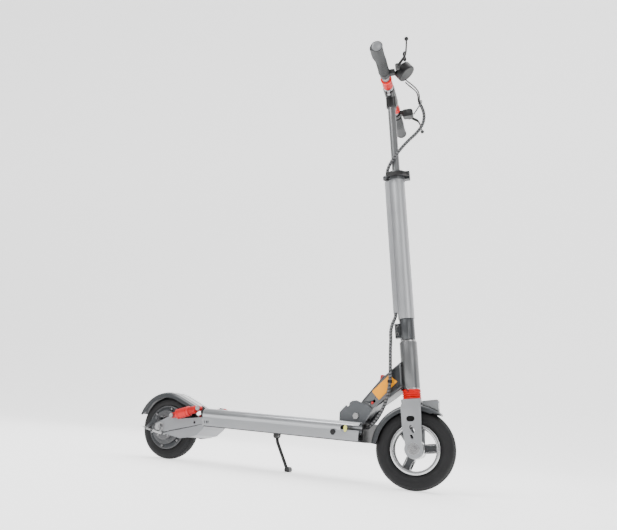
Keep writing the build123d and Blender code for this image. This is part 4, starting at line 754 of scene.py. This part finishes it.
def shocks():
    """Makes the two rear shocks: eyes, ribbed necks and bodies."""
    lower_eye = SHOCK_LENGTH
    for side, word in SIDES:
        shock = SHOCK.moved(0, side * SHOCK_OUT, 0)
        bm = bmesh.new()
        neck = [(10, 0.01), (10, 8.4), (12, 9.2)]
        for k in range(5):
            neck += [(13 + 4.2 * k, 11.6), (15.4 + 4.2 * k, 11.6), (15.8 + 4.2 * k, 9.6), (17 + 4.2 * k, 9.6)]
        neck += [(64, 9), (64, 0.01)]
        turned(bm, shock.lengthwise(), neck, 40, closed=False)
        turned(bm, shock, ((-6, 4.1), (-6, 7.4), (-5.4, 8), (5.4, 8), (6, 7.4), (6, 4.1)), 36)
        piece(f"shock_neck_{word}", bm, "shock_rod", "red anodised", ("shock_rods",))
        bm = bmesh.new()
        turned(bm, shock.lengthwise(), ((34, 9.4), (34, 13.2), (35.6, 15), (42, 15), (42.6, 14.2), (44, 14.2),
                                        (44.6, 15), (72, 15), (72.6, 14.2), (74, 14.2), (74.6, 15), (80, 15),
                                        (82, 13), (82, 0.01), (75, 0.01), (75, 9.4)), 48)
        turned(bm, shock.moved(lower_eye), ((-6, 4.8), (-6, 7.4), (-5.4, 8), (5.4, 8), (6, 7.4), (6, 4.8)), 36)
        plate(bm, shock, rounded([(79, -7), (92, -7.4), (92, 7.4), (79, 7)], 1), -5.6, 5.6, 0.6)
        piece(f"shock_body_{word}", bm, "shock_body", "red anodised", ("shock_bodies",))
        for reach, body in ((0, "deck"), (lower_eye, "swingarm")):
            bm = bmesh.new()
            ring = shock.moved(reach, side * SHOCK_WASHER_OUT)
            turned(bm, ring, ((-0.4, 4.2), (-0.4, 7), (0.2, 7), (0.2, 4.2)), 30)
            piece(f"shock_washer_{word}_{body}", bm, body, "dark steel")


# ---------------------------------------------------------------- neck, deck and lamps

def patch(name, axes, side, corners, out):
    """Makes a thin plain patch plate on one side of the neck."""
    bm = bmesh.new()
    plate(bm, axes, rounded(corners, 3), min(out, out + side * 0.8), max(out, out + side * 0.8), 0.3)
    piece(name, bm, "neck", "patch plate")


PATCH_CORNERS = [((x - HINGE.origin.x) / MM, (z - HINGE.origin.z) / MM)
                 for x, z in ((0.280, 0.2528), (0.3266, 0.3011), (0.3528, 0.2848), (0.3027, 0.2310))]


def neck_details():
    """Makes the neck's patches and lower screws."""
    for side, word in SIDES:
        patch(f"neck_patch_{word}", HINGE, side, PATCH_CORNERS, side * 30)
        bm = bmesh.new()
        for x, z in ((22, 22), (34, 34)):
            head = HINGE.moved(x, side * 29.6, z)
            screw(bm, head if side > 0 else head.mirrored(), 3.6, 2.6)
        piece(f"neck_screws_{word}", bm, "neck", "bright steel")


def deck_details():
    """Makes the studded mat and the charging cap's ring."""
    low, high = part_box("foot_mat")
    bm = bmesh.new()
    half_x, half_y = (high.x - low.x) / 2 / MM, (high.y - low.y) / 2 / MM
    mat = Axes(((low.x + high.x) / 2, (low.y + high.y) / 2, low.z), (1, 0, 0), (0, 1, 0), (0, 0, 1))
    outline = rounded([(-half_x, -half_y), (half_x, -half_y), (half_x, half_y), (-half_x, half_y)], 8)
    thick = (high.z - low.z) / MM
    skin(bm, [[mat.at(x, y, z) for x, y in shape] for shape, z in
              ((outline, 0), (outline, thick - 1.6), (inset(outline, 0.6), thick - 1.0))])
    columns, rows = int(half_x * 2 / STUD_PITCH), int(half_y * 2 / STUD_PITCH)
    for i in range(columns):
        for j in range(rows):
            x, y = (i - (columns - 1) / 2) * STUD_PITCH, (j - (rows - 1) / 2) * STUD_PITCH
            if abs(x) > half_x - 6 or abs(y) > half_y - 6:
                continue
            skin(bm, [[mat.at(x + r * cos(pi * k / 4), y + r * sin(pi * k / 4), z) for k in range(8)]
                      for r, z in ((3.2, thick - 1.05), (2.8, thick - 0.2), (2.0, thick))])
    piece("foot_mat_studded", bm, "deck", "mat rubber", ("foot_mat",))
    bm = bmesh.new()
    low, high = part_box("charge_port_cap")
    middle = (low + high) / 2
    port = Axes((middle.x, low.y, middle.z + 0.001), (1, 0, 0), (0, 1, 0), (0, 0, 1))
    turned(bm, port, ((0.0, 3), (-0.5, 3.4), (-0.5, 4.6), (0, 5), (0.6, 5), (0.6, 3)), 40)
    piece("charge_cap_ring", bm, "charge_cap", "black plastic")


def lamps():
    """Makes the headlamp's ribbed lens."""
    low, high = LAMP_FACE, LAMP_FACE + 3
    bm = bmesh.new()
    outline = rounded([(105, -17.4), (122, -17.4), (122, 17.4), (105, 17.4)], 4)
    levels = ((outline, low), (outline, high - 0.7), (inset(outline, 0.7), high))
    skin(bm, [[FRONT.at(across, y, z) for z, y in shape] for shape, across in levels])
    for k in range(9):
        y = -15.2 + 3.8 * k
        skin(bm, [[FRONT.at(high - 0.15 + bulge, y + w, z) for z in (106.2, 120.8)]
                  + [FRONT.at(high - 0.15 + bulge, y - w, z) for z in (120.8, 106.2)]
                  for bulge, w in ((0, 1.3), (0.35, 0.8))])
    piece("headlamp_lens_ribbed", bm, "fork", "clear lens", ("headlamp_lens",), sharp=30)


# ---------------------------------------------------------------- bars

def bar_side(side):
    """The bar's own axes, with the across direction towards the end of that half."""
    return Axes(BAR.origin, BAR.forward, BAR.left * side, BAR.up)


def grip(side, word):
    """Makes a grip with ribs round it, a palm wing and a pale end cap."""
    axes = bar_side(side)
    pitch = sizes().grip_rib / MM
    start, end = GRIP_START, GRIP_END
    count = 48
    loops = []
    steps = 140
    for k in range(steps + 1):
        out = start + (end - start) * k / steps
        wide = min(1.0, max(0.0, (out - 208) / 34)) * min(1.0, max(0.35, (292 - out) / 8))
        wide = wide * wide * (3 - 2 * wide)
        rib = 0.45 * (1 + cos(2 * pi * (out - start) / pitch)) * (1 - 0.8 * wide)
        collar = 1.1 if out < start + 4 or out > end - 4 else 0
        loop = []
        for n in range(count):
            angle = 2 * pi * n / count
            x, z = cos(angle), sin(angle)
            r = 14.6 + collar * 0.9 + rib + (0.25 if n % 4 < 2 else 0) * (1 - wide)
            rear = max(0.0, -x)
            reach = rear ** 2.2 * 6.4 * wide
            loop.append(axes.at(x * r - reach, out, z * r * (1 - 0.12 * wide * rear) - 1.2 * wide * rear))
        loops.append(loop)
    bm = bmesh.new()
    skin(bm, loops)
    piece(f"grip_{word}_moulded", bm, f"bar_{word}", "grip rubber", (f"grip_{word}",), sharp=45)
    turned_piece(f"grip_end_{word}", axes, ((288.6, 0.01), (288.6, 13), (289.2, 14.2), (290.6, 14.2), (291.7, 12.4),
                 (292, 9.6), (291.6, 8.8), (291.6, 0.01)), 40, f"bar_{word}", "light grey plastic", closed=False)


def sleeve(side, word):
    """Makes one lock sleeve: a grooved body and a brighter rim."""
    axes = bar_side(side)
    profile = [(62, 11.3), (62, 14.4), (62.8, 15.4)]
    for groove in range(5):
        at = 67 + 5.8 * groove
        profile += [(at, 15.4), (at + 0.4, 14.5), (at + 1.8, 14.5), (at + 2.2, 15.4)]
    profile += [(99, 15.4), (99, 11.3)]
    bm = bmesh.new()
    turned(bm, axes, profile, 60)
    body = f"sleeve_{word}"
    piece(f"lock_sleeve_{word}_grooved", bm, body, "red anodised", (f"lock_sleeve_{word}",))
    turned_piece(f"lock_sleeve_rim_{word}", axes, ((98.8, 11.3), (98.8, 15.6), (99.6, 16.5), (103.2, 16.5),
                 (104, 15.8), (104, 13.4), (103, 12.6), (103, 11.3)), 60, body, "red rubber")


def brake_lever(side, word, points):
    """Makes one brake lever's hub, curved blade and ball end."""
    axes = bar_side(side)
    line = through(points, 8)
    path = [axes.at(x, out, z) for x, z, out in line]
    loops = []
    for index, (point, direction, _) in enumerate(frames_along(path)):
        share = index / (len(path) - 1)
        up = (axes.up - direction * direction.dot(axes.up)).normalized()
        across = direction.cross(up)
        tall, wide = 5.4 - 1.0 * share, 2.7 - 0.3 * share
        loops.append([point + (up * sin(2 * pi * n / 16) * tall + across * cos(2 * pi * n / 16) * wide) * MM
                      for n in range(16)])
    bm = bmesh.new()
    skin(bm, loops)
    tip, head = points[-1], points[0]
    profile = [(6 * sin(radians(a)), 6 * cos(radians(a))) for a in range(-84, 85, 12)]
    x, z, out = tip
    turned(bm, axes.moved(x, out, z), [(-6, 0.01), *profile, (6, 0.01)], 24, closed=False)
    x, z, out = head
    hub = ((-8.4, 0.01), (-8.4, 5.2), (-7.4, 6.2), (7.4, 6.2), (8.4, 5.2), (8.4, 0.01))
    turned(bm, axes.moved(x, out, z).upright(), hub, 28, closed=False)
    made = f"brake_lever_{word}"
    piece(f"{made}_blade", bm, made, "black coat", (made,), sharp=40)


def display():
    """Makes the display's glass and bezel on the right pod."""
    tilt = radians(DISPLAY_TILT)
    up = BAR.up * cos(tilt) - BAR.forward * sin(tilt)
    forward = BAR.forward * cos(tilt) + BAR.up * sin(tilt)
    face = Axes(BAR.at(*DISPLAY_PLACE) + up * 13 * MM, forward, BAR.left, up)
    turned_piece("display_bezel", face.upright(), ((-1.6, 20.6), (-0.6, 20.4), (0, 21), (0, 25.2), (-0.7, 26.2),
                 (-2.4, 26.4), (-2.4, 20.6)), 72, "bar_right", "black plastic")
    turned_piece("display_glass", face.upright(), ((-2.4, 0.01), (-2.4, 20.8), (-0.9, 20.8), (-0.5, 20.2),
                 (-0.35, 0.01)), 72, "bar_right", "screen glass", closed=False)


# ---------------------------------------------------------------- paint

def paint_frame():
    """Gives every carried-over part its material and, where it shows, a soft edge."""
    for name, finish in NODE_FINISHES.items():
        made = frame["nodes"][name]
        made.data.materials.clear()
        made.data.materials.append(material(finish))
        if name in SOFT_EDGED:
            weld = made.modifiers.new("weld", "WELD")
            weld.merge_threshold = 0.00002
            bevel = made.modifiers.new("soft edge", "BEVEL")
            bevel.width = sizes().edge_round
            bevel.segments = 2
            bevel.limit_method = "ANGLE"
            bevel.angle_limit = radians(40)


# ---------------------------------------------------------------- cables in place

def steering_path(points):
    return smooth_path([FRONT.at(*point) for point in points])


def split_at(path, height):
    """Cuts a path that runs downwards where it passes a height."""
    for index, (a, b) in enumerate(zip(path, path[1:])):
        if a.z >= height > b.z:
            middle = a.lerp(b, (a.z - height) / (a.z - b.z))
            return path[:index + 1] + [middle], [middle] + path[index + 1:]
    raise RuntimeError("the cable doesn't pass the clip's height")


def bending(name, path, radius, finish, node, wrapped=False):
    """Makes a cable along a path, and its wrap when asked."""
    bm = bmesh.new()
    tube(bm, path, radius)
    made = piece(name, bm, None, finish, (node,), sharp=60)
    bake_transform(made)
    if wrapped:
        bm = bmesh.new()
        wrap(bm, path, radius)
        made = piece(f"{name}_wrap", bm, None, "wrap plastic", sharp=50)
        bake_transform(made)


def control_cables():
    """Makes the three thin cables from the controls to the loom's mouth."""
    for name, (bar_body, route) in CONTROL_CABLES.items():
        path = steering_path(route)
        bending(name, path, CABLE_RADIUS, "cable jacket", "control_cables")


def upper_loom():
    """Makes the wrapped loom from the bars to the column's channel."""
    path = steering_path(UPPER_LOOM)
    bending("upper_loom_core", path, LOOM_RADIUS, "cable jacket", "upper_loom",
            wrapped=True)


def lower_loom():
    """Makes the wrapped loom from the column past the neck to the deck, its clip and the gland's collar."""
    row = [Vector(point) * MM for point in LOWER_LOOM_ROW]
    path = smooth_path([FRONT.at(*point) for point in LOWER_LOOM_TOP] + row)
    upper, lower = split_at(path, CLIP_HEIGHT)
    bending("lower_loom_top", upper, LOOM_RADIUS, "cable jacket", "lower_loom",
            wrapped=True)
    bending("lower_loom_bottom", lower, LOOM_RADIUS, "cable jacket", "lower_loom",
            wrapped=True)
    place = upper[-1]
    along = (upper[-1] - upper[-3]).normalized()
    ahead = Vector((1, 0, 0))
    ahead = (ahead - along * ahead.dot(along)).normalized()
    clip = Axes(place, ahead, along, ahead.cross(along))
    turned_piece("loom_clip", clip, ((-4, 4.4), (-4, 6.2), (-3.4, 6.8), (3.4, 6.8), (4, 6.2), (4, 4.4)),
                 32, "neck", "black plastic")
    gland = Axes(row[-1], Vector((0, 0, 1)), (row[-1] - row[-2]).normalized(), Vector((0, 1, 0)))
    turned_piece("loom_gland_collar", gland, ((-3, 4.5), (-3, 6.4), (-1, 7), (2.5, 7), (2.5, 4.5)),
                 32, "deck", "black plastic")


def lamp_wire():
    """Makes the headlamp's wire, from the loom to the fork's crown."""
    path = smooth_path([Vector(point) * MM for point in LAMP_WIRE_ROW])
    bending("lamp_wire_run", path, LAMP_WIRE_RADIUS, "cable jacket", "lamp_wire")


# ---------------------------------------------------------------- stage

def studio():
    """Sets the pale floor, the soft lights and the camera."""
    mesh = bpy.data.meshes.new("floor")
    bm = bmesh.new()
    reach, rise = 22.0, 3.5
    profile = [(-reach, 0.0), (2.6, 0.0)] + [(2.6 + rise * sin(radians(a)), rise * (1 - cos(radians(a))))
                                           for a in range(6, 91, 6)] + [(2.6 + rise, 8.0)]
    rows = [[bm.verts.new((x, y, z)) for y, z in profile] for x in (-reach, reach)]
    for k in range(len(profile) - 1):
        bm.faces.new((rows[0][k], rows[1][k], rows[1][k + 1], rows[0][k + 1])).smooth = True
    bm.to_mesh(mesh)
    bm.free()
    floor = bpy.data.objects.new("floor", mesh)
    bpy.context.scene.collection.objects.link(floor)
    paint = bpy.data.materials.new("floor paint")
    paint.use_nodes = True
    tree = paint.node_tree
    shader = tree.nodes["Principled BSDF"]
    shader.inputs["Roughness"].default_value = 0.75
    cloud = tree.nodes.new("ShaderNodeTexNoise")
    cloud.inputs["Scale"].default_value = 3
    ramp = tree.nodes.new("ShaderNodeValToRGB")
    ramp.color_ramp.elements[0].color = (0.93, 0.93, 0.93, 1)
    ramp.color_ramp.elements[1].color = (0.96, 0.96, 0.96, 1)
    tree.links.new(cloud.outputs["Fac"], ramp.inputs["Fac"])
    tree.links.new(ramp.outputs["Color"], shader.inputs["Base Color"])
    tree.links.new(ramp.outputs["Color"], shader.inputs["Emission Color"])
    shader.inputs["Emission Strength"].default_value = 1.0
    mesh.materials.append(paint)
    for name, place, target, size, power in (("key", (-1.2, -2.6, 3.2), (0, 0, 0.5), 1.8, 120),
                                             ("fill", (3.0, -1.8, 1.6), (0, 0, 0.6), 1.6, 26),
                                             ("top", (0.2, 0.4, 3.6), (0, 0, 0), 2.6, 60),
                                             ("back", (-1.2, 2.2, 2.2), (0, 0, 0.5), 2.0, 40)):
        lamp = bpy.data.lights.new(name, "AREA")
        lamp.energy = power
        lamp.size = size
        holder = bpy.data.objects.new(name, lamp)
        holder.location = place
        holder.rotation_euler = (Vector(target) - Vector(place)).to_track_quat("-Z", "Y").to_euler()
        bpy.context.scene.collection.objects.link(holder)
    world = bpy.data.worlds.new("studio")
    world.use_nodes = True
    sky = world.node_tree
    place = sky.nodes.new("ShaderNodeTexCoord")
    apart = sky.nodes.new("ShaderNodeSeparateXYZ")
    shade = sky.nodes.new("ShaderNodeValToRGB")
    shade.color_ramp.elements[0].position = 0.05
    shade.color_ramp.elements[0].color = (0.30, 0.30, 0.305, 1)
    shade.color_ramp.elements[1].position = 0.75
    shade.color_ramp.elements[1].color = (1, 1, 1, 1)
    sky.links.new(place.outputs["Generated"], apart.inputs[0])
    sky.links.new(apart.outputs["Z"], shade.inputs["Fac"])
    sky.links.new(shade.outputs["Color"], sky.nodes["Background"].inputs["Color"])
    sky.nodes["Background"].inputs["Strength"].default_value = 1.2
    bpy.context.scene.world = world
    yaw, pitch, roll = radians(-27.95), radians(11.58), radians(5.54)
    ahead = Vector((sin(yaw) * cos(pitch), cos(yaw) * cos(pitch), sin(pitch)))
    right = Vector((cos(yaw), -sin(yaw), 0))
    over = right.cross(ahead)
    turned_right = right * cos(roll) + over * sin(roll)
    turned_up = over * cos(roll) - right * sin(roll)
    camera = bpy.data.cameras.new("camera")
    camera.sensor_width = 36
    camera.lens = 780.24 / 617 * 36
    holder = bpy.data.objects.new("camera", camera)
    turn = Matrix((turned_right, turned_up, -ahead)).transposed()
    holder.matrix_world = Matrix.Translation((1.1214, -2.0628, 0.1438)) @ turn.to_4x4()
    bpy.context.scene.collection.objects.link(holder)
    bpy.context.scene.camera = holder


# ---------------------------------------------------------------- add-on

class BuildStep:
    """What every building operator shares: it runs its steps and reports."""

    bl_options = {"REGISTER", "UNDO"}
    steps = ()

    def execute(self, context):
        for step in self.steps:
            step()
        return {"FINISHED"}


class SCOOTER_OT_frame(BuildStep, bpy.types.Operator):
    """Paints the carried-over frame parts and softens their edges."""

    bl_idname = "scooter.frame"
    bl_label = "Frame parts"
    steps = (paint_frame,)


class SCOOTER_OT_wheels(BuildStep, bpy.types.Operator):
    """Builds both tyres, the front rim and the motor's rings and screws."""

    bl_idname = "scooter.wheels"
    bl_label = "Wheels"
    steps = (front_wheel, rear_wheel)


class SCOOTER_OT_fenders(BuildStep, bpy.types.Operator):
    """Builds both fenders."""

    bl_idname = "scooter.fenders"
    bl_label = "Fenders"
    steps = (front_fender, rear_fender)


class SCOOTER_OT_boot(BuildStep, bpy.types.Operator):
    """Builds the folded boot above the fork."""

    bl_idname = "scooter.boot"
    bl_label = "Fork boot"
    steps = (boot,)


class SCOOTER_OT_shocks(BuildStep, bpy.types.Operator):
    """Builds both rear shocks."""

    bl_idname = "scooter.shocks"
    bl_label = "Rear shocks"
    steps = (shocks,)


class SCOOTER_OT_adjuster(BuildStep, bpy.types.Operator):
    """Builds the spring of the brake's adjuster."""

    bl_idname = "scooter.adjuster"
    bl_label = "Brake adjuster spring"
    steps = (adjuster_spring,)


class SCOOTER_OT_neck(BuildStep, bpy.types.Operator):
    """Builds the neck's patches and screws."""

    bl_idname = "scooter.neck"
    bl_label = "Neck details"
    steps = (neck_details,)


class SCOOTER_OT_deck(BuildStep, bpy.types.Operator):
    """Builds the studded mat and the port's ring."""

    bl_idname = "scooter.deck"
    bl_label = "Deck details"
    steps = (deck_details,)


class SCOOTER_OT_lamps(BuildStep, bpy.types.Operator):
    """Builds the headlamp's lens."""

    bl_idname = "scooter.lamps"
    bl_label = "Headlamp"
    steps = (lamps,)


def both_grips():
    for side, word in SIDES:
        grip(side, word)


def both_sleeves():
    for side, word in SIDES:
        sleeve(side, word)


def both_brake_levers():
    brake_lever(-1, "right", [(40, 4, 158), (53, 14, 167), (66, 22, 182), (73, 32, 208), (77, 41, 236)])
    brake_lever(1, "left", [(40, -4, 158), (53, -10, 167), (66, -14, 182), (71, -21, 208), (73, -27, 236)])


class SCOOTER_OT_grips(BuildStep, bpy.types.Operator):
    """Builds both grips."""

    bl_idname = "scooter.grips"
    bl_label = "Grips"
    steps = (both_grips,)


class SCOOTER_OT_sleeves(BuildStep, bpy.types.Operator):
    """Builds both lock sleeves."""

    bl_idname = "scooter.sleeves"
    bl_label = "Lock sleeves"
    steps = (both_sleeves,)


class SCOOTER_OT_brake_levers(BuildStep, bpy.types.Operator):
    """Builds both brake levers."""

    bl_idname = "scooter.brake_levers"
    bl_label = "Brake levers"
    steps = (both_brake_levers,)


class SCOOTER_OT_display(BuildStep, bpy.types.Operator):
    """Builds the display's glass and bezel."""

    bl_idname = "scooter.display"
    bl_label = "Display"
    steps = (display,)


class SCOOTER_OT_cables(BuildStep, bpy.types.Operator):
    """Builds the control cables, the two looms and the headlamp's wire."""

    bl_idname = "scooter.cables"
    bl_label = "Cables"
    steps = (control_cables, upper_loom, lower_loom, lamp_wire)


class SCOOTER_OT_stage(BuildStep, bpy.types.Operator):
    """Sets the floor, the lights and the camera."""

    bl_idname = "scooter.stage"
    bl_label = "Stage"
    steps = (studio,)


OPERATORS = (SCOOTER_OT_frame, SCOOTER_OT_wheels, SCOOTER_OT_fenders, SCOOTER_OT_boot, SCOOTER_OT_shocks,
             SCOOTER_OT_adjuster, SCOOTER_OT_neck, SCOOTER_OT_deck, SCOOTER_OT_lamps, SCOOTER_OT_grips,
             SCOOTER_OT_sleeves, SCOOTER_OT_brake_levers, SCOOTER_OT_display, SCOOTER_OT_cables, SCOOTER_OT_stage)


class SCOOTER_PT_panel(bpy.types.Panel):
    """Lists the scooter's settings and building steps."""

    bl_label = "Kick scooter"
    bl_idname = "SCOOTER_PT_panel"
    bl_space_type = "VIEW_3D"
    bl_region_type = "UI"
    bl_category = "Scooter"

    def draw(self, context):
        layout = self.layout
        for group in (context.scene.scooter_sizes, context.scene.scooter_colours):
            box = layout.box()
            for name in group.bl_rna.properties.keys():
                if name not in ("rna_type", "name"):
                    box.prop(group, name)
        for operator in OPERATORS:
            layout.operator(operator.bl_idname)


CLASSES = (ScooterSizes, ScooterColours, *OPERATORS, SCOOTER_PT_panel)


def register():
    for cls in CLASSES:
        bpy.utils.register_class(cls)
    bpy.types.Scene.scooter_sizes = bpy.props.PointerProperty(type=ScooterSizes)
    bpy.types.Scene.scooter_colours = bpy.props.PointerProperty(type=ScooterColours)


def unregister():
    del bpy.types.Scene.scooter_colours
    del bpy.types.Scene.scooter_sizes
    for cls in reversed(CLASSES):
        bpy.utils.unregister_class(cls)


def main():
    register()
    for operator in OPERATORS:
        getattr(bpy.ops.scooter, operator.bl_idname.split(".")[1])()
    bpy.context.view_layer.update()


if __name__ == "__main__":
    main()
